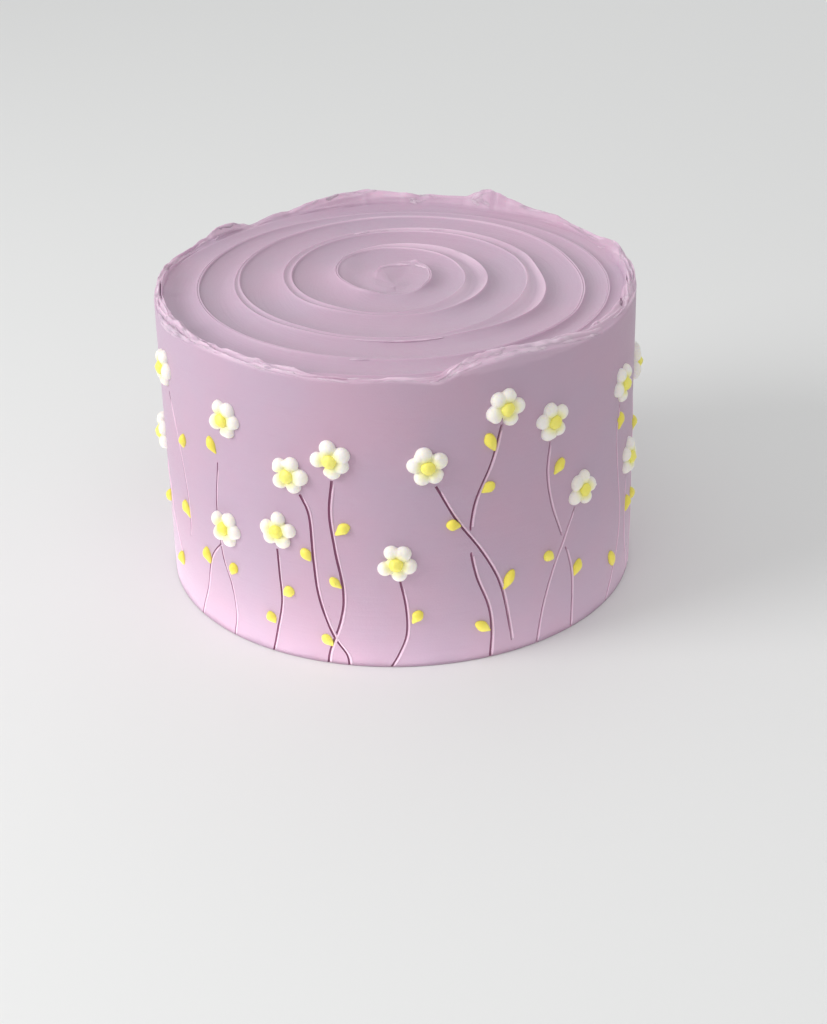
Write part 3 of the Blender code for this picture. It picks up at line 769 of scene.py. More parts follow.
def paintedCrestLight(quarters, row):
    # a painted highlight on the crests, and painted shade in the crease rows beside them; it comes and goes
    # along a ridge
    inner = row <= 1
    ridge = min(max(quarters - 4 if inner else quarters, 0), top["lastQuarter"])
    share = ridgeShare(ridge)
    patchy = 0.8 + 0.6 * noise.noise(Vector((ridge * 3.1, 0.4, 0.9)))
    last = len(troughShares) - 1
    byRow = {0: 1.0, 1: 0.3, last - 1: 0.4, last: 1.0, last + 1: 0.45, last + 3: 0.55, last + 4: 1.0}
    # the painted highlight is strongest at the back and the right
    turn = ridge % 4
    place = 0.45 + 0.55 * smoothStep(1.3, 2.0, turn) * smoothStep(3.7, 3.2, turn)
    # painted shade in the rows of the pressed crease
    if row in (last - 2, last - 3):
        return -top["creaseShade"] * creaseAt(quarters) * (1.0 if row == last - 2 else 0.4)
    return top["paintedCrestLight"] * share * patchy * place * byRow.get(row, 0.0)


def makeTop():
    columns = round((top["lastQuarter"] + 4) * cake["columns"] / 4)
    rows = len(troughShares) + len(gutterShares) - 1
    deselectAll()
    bpy.ops.mesh.primitive_grid_add(x_subdivisions=columns, y_subdivisions=rows, size=1)
    obj = bpy.context.active_object

    def gridPlace(co):
        return round((co.x + 0.5) * columns) * 4 / cake["columns"], round((co.y + 0.5) * rows)

    paintPoints(obj, "thinIcingAndPaintedLight", lambda co: paintedCrestLight(*gridPlace(co)))
    moveVerts(obj, lambda co: topPoint(*gridPlace(co)))
    return obj


# The side, the lip and the base

def lipNormal(out, share):
    return (out * (lip["lean"] - share) + Vector((0, 0, 1))).normalized()


def lipPoint(angle, share):
    height, width = lipAt(angle)
    out = outward(angle)
    place = out * cake["radius"]
    slow = noise.noise(place * 60)
    torn = max(noise.noise(place * 130 + Vector((3, 1, 2))) - lip["tornAbove"], 0.0)
    notch = max(noise.noise(place * 150 + Vector((8, 4, 6))) - lip["notchedAbove"], 0.0)
    height += lip["tear"] * (torn - 0.8 * notch + 0.12 * noise.noise(place * 420))
    warp = lip["wander"] * (slow + 1.6 * (torn - notch))
    warp = warp * smoothStep(0.3, 0.6, share) * smoothStep(1.0, 0.9, share)
    angle = (angle + 180) % 360 - 180
    blend = smoothStep(*lip["frontEnds"], abs(angle))
    front = between(lip["frontSection"], share)
    rear = between(lip["backSection"], share)
    across, side, edge, crest = (a + (b - a) * blend for a, b in zip(front, rear))
    edgeLevel = between(edgeTable, angle)[0] + 0.4 * lip["tear"] * (torn - notch)
    foot = cake["topLevel"] - lip["footDrop"]
    z = side * lip["start"] + edge * (cake["topLevel"] + edgeLevel)
    z += crest * (cake["topLevel"] + height) + (1 - side - edge - crest) * foot
    relief = smoothStep(0.16, 0.3, share) * smoothStep(1.0, 0.9, share)
    along = math.radians(angle) * cake["radius"]
    push = (foldRise(along, share) - lip["base"] + lip["base"] * slow) * relief
    place = out * (cake["radius"] - (across + warp) * width) + Vector((0, 0, z))
    return place + lipNormal(out, share) * push


def sidePush(point):
    # slight bands and hollows left by the scraper
    soft = noise.noise(point * cake["hollowScale"])
    band = noise.noise(Vector([a * b for a, b in zip(point, cake["bandScale"])]))
    fade = smoothStep(0.0, 0.004, point.z)
    return cake["waviness"] * (soft + cake["bandShare"] * band) * fade


def shapeWall(co):
    angle = angleOf(co)
    column = angle * cake["columns"] / 360
    if abs(column - round(column)) < 0.01:
        angle = round(column) * 360 / cake["columns"]
    share = (co.z - lip["start"]) / (lip["rings"] * lip["ringStep"])
    if share > 0.999:
        return footPoint(angle)
    if share > 0.001:
        point = lipPoint(angle, share)
        return point + outward(angle) * sidePush(point) * (1 - share)
    return co + outward(angle) * sidePush(co) * smoothStep(0.06, 0.0899, co.to_2d().length)


def makeWall():
    radius, edge = cake["radius"], cake["baseEdge"]
    deselectAll()
    bpy.ops.mesh.primitive_cylinder_add(
        vertices=cake["columns"], radius=radius, depth=lip["start"] - edge, end_fill_type="NOTHING",
        location=(0, 0, (lip["start"] + edge) / 2),
    )
    obj = bpy.context.active_object
    bpy.ops.object.transform_apply(location=True)
    bpy.ops.object.mode_set(mode="EDIT")
    bpy.ops.mesh.select_mode(type="VERT")
    bpy.ops.mesh.select_all(action="SELECT")
    bm = bmesh.from_edit_mesh(obj.data)
    for part in (*bm.faces, *bm.verts, *bm.edges):
        part.select = False
    for line in bm.edges:
        line.select = abs(line.verts[0].co.z - line.verts[1].co.z) > 0.01
    bmesh.update_edit_mesh(obj.data)
    bpy.ops.mesh.subdivide(number_cuts=cake["sideRows"] - 1)
    # the lip's rings, drawn as a cone and shaped afterwards
    reach = radius
    level = lip["start"]
    for ring in range(lip["rings"]):
        selectVerts(obj, lambda co: co.z > level - cake["near"])
        smaller = reach - lip["ringStep"]
        bpy.ops.mesh.extrude_region_move(TRANSFORM_OT_translate={"value": (0, 0, lip["ringStep"])})
        scale = smaller / reach
        bpy.ops.transform.resize(value=(scale, scale, 1), center_override=(0, 0, 0))
        reach = smaller
        level += lip["ringStep"]
    # the base: a rounded edge, then rings to the middle
    reach = radius
    level = edge
    for nextReach, drop in (
        (radius - edge * 0.13, edge / 2), (radius - edge * 0.5, edge * 0.37), (radius - edge, edge * 0.13),
        (radius * 0.8, 0.0), (radius * 0.4, 0.0), (radius * 0.1, 0.0),
    ):
        inside = reach + 5 * cake["near"]
        selectVerts(obj, lambda co: co.z < level + cake["near"] and co.to_2d().length < inside)
        bpy.ops.mesh.extrude_region_move(TRANSFORM_OT_translate={"value": (0, 0, -drop)})
        scale = nextReach / reach
        bpy.ops.transform.resize(value=(scale, scale, 1), center_override=(0, 0, 0))
        reach = nextReach
        level -= drop
    bpy.ops.mesh.edge_face_add()
    # finer faces on the lip
    finest = lip["start"] + (lip["rings"] - 1) * lip["ringStep"]
    selectVerts(obj, lambda co: lip["start"] - cake["near"] < co.z < finest + cake["near"])
    bpy.ops.mesh.subdivide(number_cuts=lip["cuts"])
    bpy.ops.object.mode_set(mode="OBJECT")
    moveVerts(obj, shapeWall)
    return obj


# Stems, leaves and daisies: place of the daisy, where each petal points (degrees clockwise from
# straight up), the stem's points below it, the leaves (place of the tip, lean, length) and how
# wide the stem is scored

frontDaisies = (
    {
        "place": (-71, 0.0946), "petals": (-50, 20, 92, 165, -122), "score": 0.65,
        "stem": ((-69, 0.086), (-65, 0.071), (-61.5, 0.052), (-60.8, 0.038), (-61.5, 0.031)),
        "leaves": ((-61.6, 0.0680, 12, 0.0060), (-60.8, 0.0391, -33, 0.0073)),
    },
    {
        "place": (-82.9, 0.0598), "petals": (-20, 52, 124, 196, -92), "score": 0.65,
        "stem": ((-81, 0.052), (-77, 0.042), (-74.4, 0.030), (-69.5, 0.020), (-68, 0.016)),
        "leaves": ((-82.5, 0.0303, 38, 0.0085), (-68.6, 0.0131, 0, 0.0062)),
    },
    {
        "place": (-43, 0.0901), "petals": (-30, 30, 91, 156, -118), "score": 0.65,
        "stem": (
            (-46.5, 0.071), (-48, 0.052), (-47, 0.033), (-44.5, 0.022), (-43.5, 0.010), (-44.7, 0.0),
        ),
        "leaves": ((-46.7, 0.0743, -37, 0.0072), (-44.4, 0.0262, 28, 0.0062)),
    },
    {
        "place": (-25.7, 0.0751), "petals": (-46, 17, 93, 155, -130), "score": 1.0,
        "stem": (
            (-23.2, 0.068), (-21.2, 0.060), (-20.6, 0.042), (-19.6, 0.027), (-16.7, 0.0126),
            (-13.6, 0.005), (-13, 0.0),
        ),
        "leaves": ((-21.3, 0.0416, -30, 0.0057),),
    },
    {
        "place": (-15.5, 0.0833), "petals": (-11, 64, 118, 170, -95), "score": 1.0,
        "stem": (
            (-15.4, 0.075), (-16.3, 0.062), (-15.4, 0.048), (-13.8, 0.031), (-14.6, 0.019),
            (-17.4, 0.006), (-18.1, 0.0),
        ),
        "leaves": (
            (-15.1, 0.0537, 48, 0.0067), (-14.1, 0.0320, -45, 0.0060), (-16.7, 0.0075, -40, 0.0059),
        ),
    },
    {
        "place": (-45, 0.0455), "petals": (-59, 33, 95, 156, -134), "score": 0.75,
        "stem": ((-47, 0.038), (-51.5, 0.029), (-54, 0.015), (-56.6, 0.0056), (-58, 0.0)),
        "leaves": ((-52.4, 0.0257, -18, 0.0067),),
    },
    {
        "place": (-29.2, 0.0520), "petals": (-85, 3, 83, 157, -135), "score": 0.85,
        "stem": ((-29.8, 0.044), (-29.5, 0.033), (-29.3, 0.022), (-31, 0.0095), (-32.5, 0.0)),
        "leaves": ((-28.9, 0.0252, 50, 0.0059), (-31.4, 0.0123, -33, 0.0051)),
    },
    {
        "place": (-1.5, 0.0435), "petals": (-20, 35, 107, 167, -119), "score": 0.9,
        "stem": ((-0.7, 0.036), (0.5, 0.025), (0.5, 0.014), (-1.4, 0.0055), (-3.3, 0.0)),
        "leaves": ((1.9, 0.0185, 31, 0.0059),),
    },
    {
        "place": (6, 0.0811), "petals": (-82, -16, 66, 147, -155), "score": 1.0,
        "stem": (
            (7.8, 0.073), (12.3, 0.059), (18.2, 0.0448), (22.5, 0.0309), (24.6, 0.016), (25.6, 0.005),
        ),
        "leaves": ((13.4, 0.0562, -72, 0.0057), (23.5, 0.0272, 29, 0.0081)),
    },
    {
        "place": (24.1, 0.0991), "petals": (-38, 13, 91, 157, -108), "score": 0.95,
        "lifted": (0.0441, 0.0549),
        "stem": (
            (23.2, 0.093), (20.6, 0.079), (16.7, 0.0646), (15.5, 0.050), (16.7, 0.036),
            (19.7, 0.022), (20.5, 0.011), (20.1, 0.0),
        ),
        "leaves": (
            (21.5, 0.0835, -23, 0.0078), (18.2, 0.0682, 60, 0.0058), (20.3, 0.0112, -52, 0.0074),
        ),
    },
    {
        "place": (36.6, 0.0889), "petals": (-14, 60, 143, -153, -79), "score": 0.75,
        "lifted": (0.0350, 0.0420),
        "stem": (
            (36.1, 0.081), (35.3, 0.069), (36.7, 0.0555), (40, 0.041), (43, 0.027), (43.7, 0.016),
            (43.4, 0.0),
        ),
        "leaves": ((37.4, 0.0674, 37, 0.0066), (44.3, 0.0214, 24, 0.0071)),
    },
    {
        "place": (46.5, 0.0566), "petals": (8, -41, 88, -117, 153), "score": 0.75, "pulled": (0, 2),
        "stem": ((44.2, 0.0505), (40.8, 0.040), (37.3, 0.029), (34.2, 0.0146), (32.5, 0.0)),
        "leaves": ((37.5, 0.0331, -52, 0.0058),),
    },
    {
        "place": (65.1, 0.0869), "petals": (-30, 42, 114, 186, -102), "score": 0.65,
        "stem": ((64.3, 0.079), (62.6, 0.068), (64, 0.050), (66, 0.033), (64, 0.017), (58, 0.0)),
        "leaves": ((63.8, 0.0690, 17, 0.0069), (62.4, 0.0127, -28, 0.0085)),
    },
    {
        "place": (71.7, 0.0523), "petals": (-58, 14, 86, 158, -130), "score": 0.65,
        "stem": ((71.6, 0.045), (70.3, 0.032), (71, 0.018), (73.5, 0.007), (75, 0.0)),
        "leaves": ((71.1, 0.0293, 19, 0.0064),),
    },
)
# Daisies round the rest of the side: angle, height, and the angle of the stem's foot
backPlaces = (
    (88, 0.080, 77), (102, 0.057, 96), (116, 0.093, 107), (130, 0.071, 137), (143, 0.047, 141),
    (156, 0.088, 164), (169, 0.063, 173), (182, 0.098, 180), (196, 0.076, 190), (210, 0.050, 215),
    (225, 0.090, 219), (240, 0.066, 244), (257, 0.084, 250),
)
back = {
    "seed": 11,
    "bow": 4.0,  # degrees that a stem bows to one side and then to the other
    "bowShares": (0.68, 0.32),
    "scatter": 7.0,  # degrees, of a petal's direction
    "leafShares": (0.34, 0.66),  # of the daisy's height
    "leafAside": 0.6,  # degrees from the stem
    "lean": (28, 50),
    "leafLength": (0.0056, 0.0074),
    "reach": 0.0080,  # from a daisy's middle down to where its stem starts
}


def evenly(values, place):
    # smooth curve through evenly spaced values, at a place counted in spacings
    return between([(i, value) for i, value in enumerate(values)], place)[0]


def backDaisies():
    draws = random.Random(back["seed"])
    for number, (angle, height, foot) in enumerate(backPlaces):
        first = draws.uniform(0, 72)
        bow = back["bow"] * (1 if number % 2 else -1)
        start = height - back["reach"]
        third = (foot - angle) / 3
        stem = (
            (angle, start),
            (angle + third + bow / 2, start * back["bowShares"][0]),
            (angle + 2 * third - bow / 2, start * back["bowShares"][1]),
            (foot, 0.0),
        )
        leaves = []
        for share in back["leafShares"]:
            side = 1 if (number + len(leaves)) % 2 else -1
            place = 3 * (1 - share * height / start)
            tip = evenly([p[0] for p in stem], place) + back["leafAside"] * side
            tipHeight = evenly([p[1] for p in stem], place)
            lean = side * draws.uniform(*back["lean"])
            leaves.append((tip, tipHeight, lean, draws.uniform(*back["leafLength"])))
        yield {
            "place": (angle, height),
            "petals": [first + 72 * k + draws.uniform(-back["scatter"], back["scatter"]) for k in range(5)],
            "stem": stem,
            "leaves": leaves,
            "score": 0.85,
        }


daisies = [*frontDaisies, *backDaisies()]

stems = {
    "radius": 0.00056,
    "sunk": 0.00012,  # how far under the surface the tool's middle runs
    "bold": 0.8,  # a stem scored wider than this is deep and dark
    "step": 0.0012,
    "overrun": 0.002,
    "burrRadius": 0.00046,  # icing thrown up beside the groove
    "burrAside": 0.00082,
    "burrSunk": 0.00024,
    "lift": 0.0014,  # how far the tool comes off the side where a stem breaks off
    "liftRun": 0.002,
    "buriedShare": 0.02,
    "buriedReach": 0.97,
}


def stemPath(daisy, aside, sunk):
    points = daisy["stem"]
    low, high = daisy.get("lifted", (-1.0, -1.0))
    angles = [p[0] + math.degrees(aside / cake["radius"]) for p in points]
    heights = [p[1] for p in points]
    length = sum((onSide(*a) - onSide(*b)).length for a, b in zip(points, points[1:]))
    pieces = round(length / stems["step"])
    places = []
    for k in range(pieces + 1):
        t = k / pieces * (len(points) - 1)
        height = evenly(heights, t)
        lift = smoothStep(low, low + stems["liftRun"], height)
        lift *= smoothStep(high, high - stems["liftRun"], height)
        places.append(onSide(evenly(angles, t), height, stems["lift"] * lift - sunk))
    return places


def makeTube(name, places, radius, shares):
    # a round rod through the places, with its share of the radius at each
    curve = bpy.data.curves.new(name, "CURVE")
    curve.dimensions = "3D"
    curve.bevel_depth = radius
    curve.bevel_resolution = 2
    curve.use_fill_caps = True
    spline = curve.splines.new("POLY")
    spline.points.add(len(places) - 1)
    for point, place, share in zip(spline.points, places, shares):
        point.co = (*place, 1.0)
        point.radius = share
    tube = bpy.data.objects.new(name, curve)
    bpy.context.scene.collection.objects.link(tube)
    pick(tube)
    bpy.ops.object.convert(target="MESH")
    return bpy.context.active_object


def makeStemBurr(number, daisy):
    places = stemPath(daisy, stems["burrAside"] * daisy["score"], stems["burrSunk"])
    low, high = daisy.get("lifted", (-1.0, -1.0))
    shares = []
    for i, place in enumerate(places):
        patchy = 1 + 0.35 * noise.noise(place * 110 + Vector((number, 0, 0)))
        share = patchy * smoothStep(-1, 4, i) * smoothStep(-1, 2, len(places) - 1 - i)
        if low < place.z < high:
            # thinned away and buried where the stem breaks off
            share = stems["buriedShare"]
            inside = place * (stems["buriedReach"] * cake["radius"] / place.to_2d().length)
            places[i] = Vector((inside.x, inside.y, place.z))
        shares.append(share)
    burr = makeTube(f"stemBurr{number:02d}", places, stems["burrRadius"], shares)
    mergeAndTurnOut(burr, 0.00001)
    return burr


def makeStemBurrs():
    burrs = joinAll([makeStemBurr(n, daisy) for n, daisy in enumerate(daisies, start=1)], "stemBurrs")
    # none stands proud under the base
    moveVerts(burrs, lambda co: Vector((co.x, co.y, max(co.z, cake["baseEdge"] / 2))))
    coverWith(burrs, burrPaintedHighlight)
    print("burrs thrown up", len(burrs.data.polygons))
    return burrs


def makeStemCutter(number, daisy):
    places = stemPath(daisy, 0, stems["sunk"])
    runsOut = daisy["stem"][-1][1] == 0.0
    if runsOut:
        places.append(places[-1] + (places[-1] - places[-2]).normalized() * stems["overrun"])
    shares = []
    for i, place in enumerate(places):
        uneven = 1 + 0.12 * noise.noise(place * 180)
        taper = 1.0 if runsOut else smoothStep(-0.5, 9.0, len(places) - 1 - i)
        shares.append(uneven * max(taper, 0.5))
    tool = makeTube(f"stemTool{number:02d}", places, stems["radius"] * daisy["score"], shares)
    tool.data.materials.clear()
    # the groove's finish paints shade inside it and a highlight on walls facing the key light
    tool.data.materials.append(deepPaintedLightIcing if daisy["score"] > stems["bold"] else faintPaintedLightIcing)
    mergeAndTurnOut(tool, 0.00001)
    return tool


def scoreStems(obj):
    tools = bpy.data.collections.new("stemTools")
    bpy.context.scene.collection.children.link(tools)
    for number, daisy in enumerate(daisies, start=1):
        tool = makeStemCutter(number, daisy)
        for other in list(tool.users_collection):
            other.objects.unlink(tool)
        tools.objects.link(tool)
    cut = obj.modifiers.new("scoreStems", "BOOLEAN")
    cut.operation = "DIFFERENCE"
    cut.operand_type = "COLLECTION"
    cut.collection = tools
    cut.solver = "MANIFOLD"
    cut.material_mode = "TRANSFER"
    applyAll(obj)
    for tool in list(tools.objects):
        bpy.data.objects.remove(tool)
    bpy.data.collections.remove(tools)


paleness = {
    "within": 0.080,  # nothing nearer the middle is torn
    "aboveStart": 0.002,
    "fullFold": 0.0007,  # a fold this high is as pale as can be
    "fadeBelow": 0.0010,  # under the lip's outer edge
    "foldShare": 0.75,
    "heightShare": 0.25,
    "fullHeight": 0.0006,
}


def thinIcingAndPaintedLight(point):
    # how pale the lip is: thin icing on its folds, paler of itself, and a painted highlight on the fold
    # crests and the lip above the top
    flat = point.to_2d().length
    if point.z < lip["start"] + paleness["aboveStart"] or flat < paleness["within"]:
        return 0.0
    angle = angleOf(point)
    width = lipAt(angle)[1]
    # the straight part of the lip's front section, from its outer edge to its crest
    share = 0.30 + 0.46 * (cake["radius"] - flat) / (0.8 * width)
    rise = foldRise(math.radians(angle) * cake["radius"], share) / paleness["fullFold"]
    edge = cake["topLevel"] + between(edgeTable, (angle + 180) % 360 - 180)[0]
    rise *= smoothStep(edge - paleness["fadeBelow"], edge, point.z)
    byHeight = smoothStep(0.0, paleness["fullHeight"], point.z - cake["topLevel"])
    return paleness["heightShare"] * byHeight + paleness["foldShare"] * min(rise, 1.0)


def makeBody():
    wall = makeWall()
    paintPoints(wall, "thinIcingAndPaintedLight", thinIcingAndPaintedLight)
    body = joinAll([wall, makeTop()], "lilacBody")
    mergeAndTurnOut(body, 0.000003)
    body.data.materials.clear()
    body.data.materials.append(lilacIcing)
    print("body modelled", len(body.data.polygons))
    scoreStems(body)
    pick(body)
    bpy.ops.object.shade_smooth_by_angle(angle=math.radians(42))
    print("stems scored", len(body.data.polygons))
    return body


# Torn smears of icing: on the lip by angle and share across at their two ends, on the top by
# quarter turns and millimetres from the middle, then width and thickness
lipSmears = (
    (6.8, 0.34, 14.8, 0.66, 0.0024, 0.0009), (12.0, 0.34, 19, 0.42, 0.0018, 0.0005),
    (14, 0.60, 26, 0.72, 0.0026, 0.0004), (22, 0.40, 36, 0.44, 0.0022, 0.0003),
    (29, 0.66, 45, 0.56, 0.0024, 0.0003), (40, 0.46, 53, 0.42, 0.0018, 0.0004),
    (54, 0.84, 57.5, 0.76, 0.0015, 0.0008),
    (62, 0.50, 70, 0.40, 0.0011, 0.0005), (69, 0.42, 77, 0.60, 0.0022, 0.0008),
    (82.5, 0.88, 88.5, 0.82, 0.0014, 0.0008), (84, 0.52, 93, 0.44, 0.0014, 0.0007),
    (-49.5, 0.36, -41, 0.52, 0.0020, 0.0007), (-76, 0.32, -57, 0.40, 0.0028, 0.0005),
    (-71, 0.56, -59, 0.64, 0.0022, 0.0006), (-66, 0.46, -52, 0.34, 0.0024, 0.0006),
    (-60, 0.70, -51, 0.56, 0.0020, 0.0007), (-72, 0.20, -60, 0.24, 0.0016, 0.0004),
    (-40, 0.40, -29, 0.34, 0.0011, 0.0005),
    (-36, 0.66, -27, 0.56, 0.0010, 0.0005), (-27, 0.76, -21, 0.80, 0.0014, 0.0006),
    (-18, 0.42, -10.5, 0.34, 0.0013, 0.0006), (-6, 0.40, 5, 0.34, 0.0009, 0.0004),
    (-97, 0.38, -88, 0.52, 0.0020, 0.0009), (-86, 0.56, -77, 0.40, 0.0017, 0.0008),
    (-105, 0.36, -99, 0.50, 0.0016, 0.0008), (-136, 0.52, -124, 0.40, 0.0022, 0.0005),
    (-176, 0.52, -166, 0.40, 0.0018, 0.0006), (159, 0.62, 152, 0.42, 0.0020, 0.0007),
    (110, 0.42, 101, 0.56, 0.0020, 0.0006), (145, 0.60, 137, 0.46, 0.0014, 0.0005),
)
topSmears = (
    (1.74, 15.0, 2.25, 19.0, 0.0012, 0.0007), (2.20, 19.4, 2.62, 16.9, 0.0012, 0.0006),
    (9.80, 53.9, 9.89, 54.7, 0.0009, 0.0005),
    (9.92, 55.2, 9.98, 55.8, 0.0008, 0.0005), (10.16, 56.8, 10.24, 57.2, 0.0008, 0.0005),
    (16.08, 70.8, 16.15, 71.1, 0.0008, 0.0005),
    (6.36, 38.9, 6.62, 37.0, 0.0008, 0.0004), (11.8, 54.4, 12.2, 53.6, 0.0008, 0.0004),
)
smears = {
    "seed": 23,
    "pieceSeed": 700,
    "count": 46,  # small ones, scattered
    "degrees": (1.6, 4.6),
    "width": (0.0005, 0.0012),
    "thickness": (0.0002, 0.0005),
    "raggedness": 0.5,
    "sunk": 0.3,  # share of the thickness
}


def scatterSmears():
    draws = random.Random(smears["seed"])
    rows = []
    for _ in range(smears["count"]):
        start = draws.uniform(-180, 180)
        share = draws.uniform(0.32, 0.82)
        end = start + draws.uniform(*smears["degrees"])
        other = share + draws.uniform(-0.14, 0.14)
        rows.append((start, share, end, other, draws.uniform(*smears["width"]),
                     draws.uniform(*smears["thickness"])))
    return rows


def onLip(angle, share, across, up):
    share = min(max(share + across / folds["path"], 0.02), 0.98)
    return lipPoint(angle, share) + lipNormal(outward(angle), share) * up


def onTop(quarters, radius, across, up):
    flat = outward(-90 * quarters) * (radius * 0.001 + across)
    return flat + Vector((0, 0, ridgeLine(quarters, outer=True).z + up))


def makeSmear(number, row, place):
    start, sideIn, end, sideOut, width, thickness = row
    deselectAll()
    bpy.ops.mesh.primitive_uv_sphere_add(segments=12, ring_count=30, radius=1)
    obj = bpy.context.active_object
    draws = random.Random(smears["pieceSeed"] + number)
    offset = anyOffset(draws)
    length = (place(start, sideIn, 0, 0) - place(end, sideOut, 0, 0)).length

    def shape(co):
        t = (co.z + 1) / 2
        reach = max(co.to_2d().length, 0.000001)
        full = min(reach, 1.0) ** 0.7
        side, up = co.x / reach, co.y / reach
        edge = noise.noise(Vector((t * length * 800, side, 0)) + offset)
        edge += 0.6 * noise.noise(Vector((t * length * 2200, side, 3)) + offset)
        across = side * full * (1 + smears["raggedness"] * edge) * width / 2
        rise = up * full * (1 + 0.3 * edge) - smears["sunk"]
        return place(start + (end - start) * t, sideIn + (sideOut - sideIn) * t, across, rise * thickness)

    moveVerts(obj, shape)
    return obj


def makeSmears():
    pieces = [makeSmear(n, row, onLip) for n, row in enumerate([*lipSmears, *scatterSmears()])]
    pieces += [makeSmear(200 + n, row, onTop) for n, row in enumerate(topSmears)]
    obj = joinAll(pieces, "tornSmears")
    # thin torn icing, paler of itself, with a painted highlight whose strength wanders with noise
    paintPoints(obj, "thinIcingAndPaintedLight", lambda co: 0.5 + 0.9 * noise.noise(co * 260))
    mergeAndTurnOut(obj, 0.0000001)
    coverWith(obj, lilacIcing)
    print("smears torn", len(pieces), len(obj.data.polygons))
    return obj


def putInPlace(obj, nodes):
    pick(obj)
    bpy.ops.object.transform_apply(location=True, rotation=True, scale=True)
    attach(obj, "root")
    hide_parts(*nodes)


body = makeBody()
putInPlace(body, ["cake"])
tornSmears = makeSmears()
putInPlace(tornSmears, ["cake"])
stemBurrs = makeStemBurrs()
putInPlace(stemBurrs, ["cake"])


# Leaves, piped as teardrops

leafShape = {
    "seed": 500,
    "width": 0.0044,
    "height": 0.0019,
    "tipShare": 0.46,
    "sunk": 0.0003,  # how far its back lies in the icing
    "lumps": 0.00032,
}


def makeLeaf(number, tipAngle, tipHeight, lean, length):
    deselectAll()
    bpy.ops.mesh.primitive_uv_sphere_add(segments=20, ring_count=12, radius=1)
    obj = bpy.context.active_object
    draws = random.Random(leafShape["seed"] + number)
    offset = anyOffset(draws)
    wide = leafShape["width"] * draws.uniform(0.9, 1.08)
    high = leafShape["height"] * draws.uniform(0.9, 1.15)
    turn = Matrix.Rotation(-math.radians(lean), 3, "Z")

    def shape(co):
        share = leafShape["tipShare"] + (1 - leafShape["tipShare"]) * smoothStep(-1.0, 0.25, co.z)
        flat = Vector((co.x * share * wide / 2, (co.z + 1) * length / 2, co.y * share * high))
        lump = leafShape["lumps"] * noise.noise(flat * 420 + offset)
        flat += Vector((co.x, co.z, co.y)).normalized() * lump
        flat.z = max(flat.z, -leafShape["sunk"])
        return wrapOnSide(turn @ flat, tipAngle, tipHeight)

    moveVerts(obj, shape)
    return obj


def makeLeaves():
    rows = [leaf for daisy in daisies for leaf in daisy["leaves"]]
    leaves = joinAll([makeLeaf(n, *row) for n, row in enumerate(rows)], "yellowLeaves")
    coverWith(leaves, leafIcing)
    mergeAndTurnOut(leaves, 0.0000001)
    print("leaves piped", len(rows))
    return leaves


leaves = makeLeaves()
putInPlace(leaves, ["cake"])


# Daisies

petal = {
    "ring": 0.0045,
    "width": 0.0059,
    "height": 0.0027,
    "tail": 0.0021,  # radius of the part drawn in to the middle
    "tailRing": 0.0022,
    "tailShape": (1.0, 1.3),  # wide and long, shares of that radius
    "tailHeight": 0.72,  # share of the petal's height, as the bump's are
    "bump": (0.66, 0.62, 0.66),  # shares of the petal's width, length and height
    "bumpUp": 0.30,
    "unevenness": 0.07,
    "voxel": 0.00026,
    "sunk": 0.0003,
    "pull": 0.0013,  # height of a pulled-up point
    "heartShade": (0.0054, 0.0027),  # from the daisy's middle, where the heart's yellow shows in it
    "heartShadeShare": 0.9,
}
heart = {
    "seed": 900,
    "radius": 0.0026,
    "top": 0.0036,
    "bottom": -0.0004,
    "lumps": 0.00014,
    "shoulder": 0.9,  # under 1 it is fuller than a ball's
    "nib": (0.10, 0.28),  # where the nozzle left it: height and spread, shares of its size
}


def addBall(place, size):
    bpy.ops.mesh.primitive_uv_sphere_add(segments=20, ring_count=12, radius=1, location=place, scale=size)
    ball = bpy.context.active_object
    bpy.ops.object.transform_apply(location=True, scale=True)
    return ball


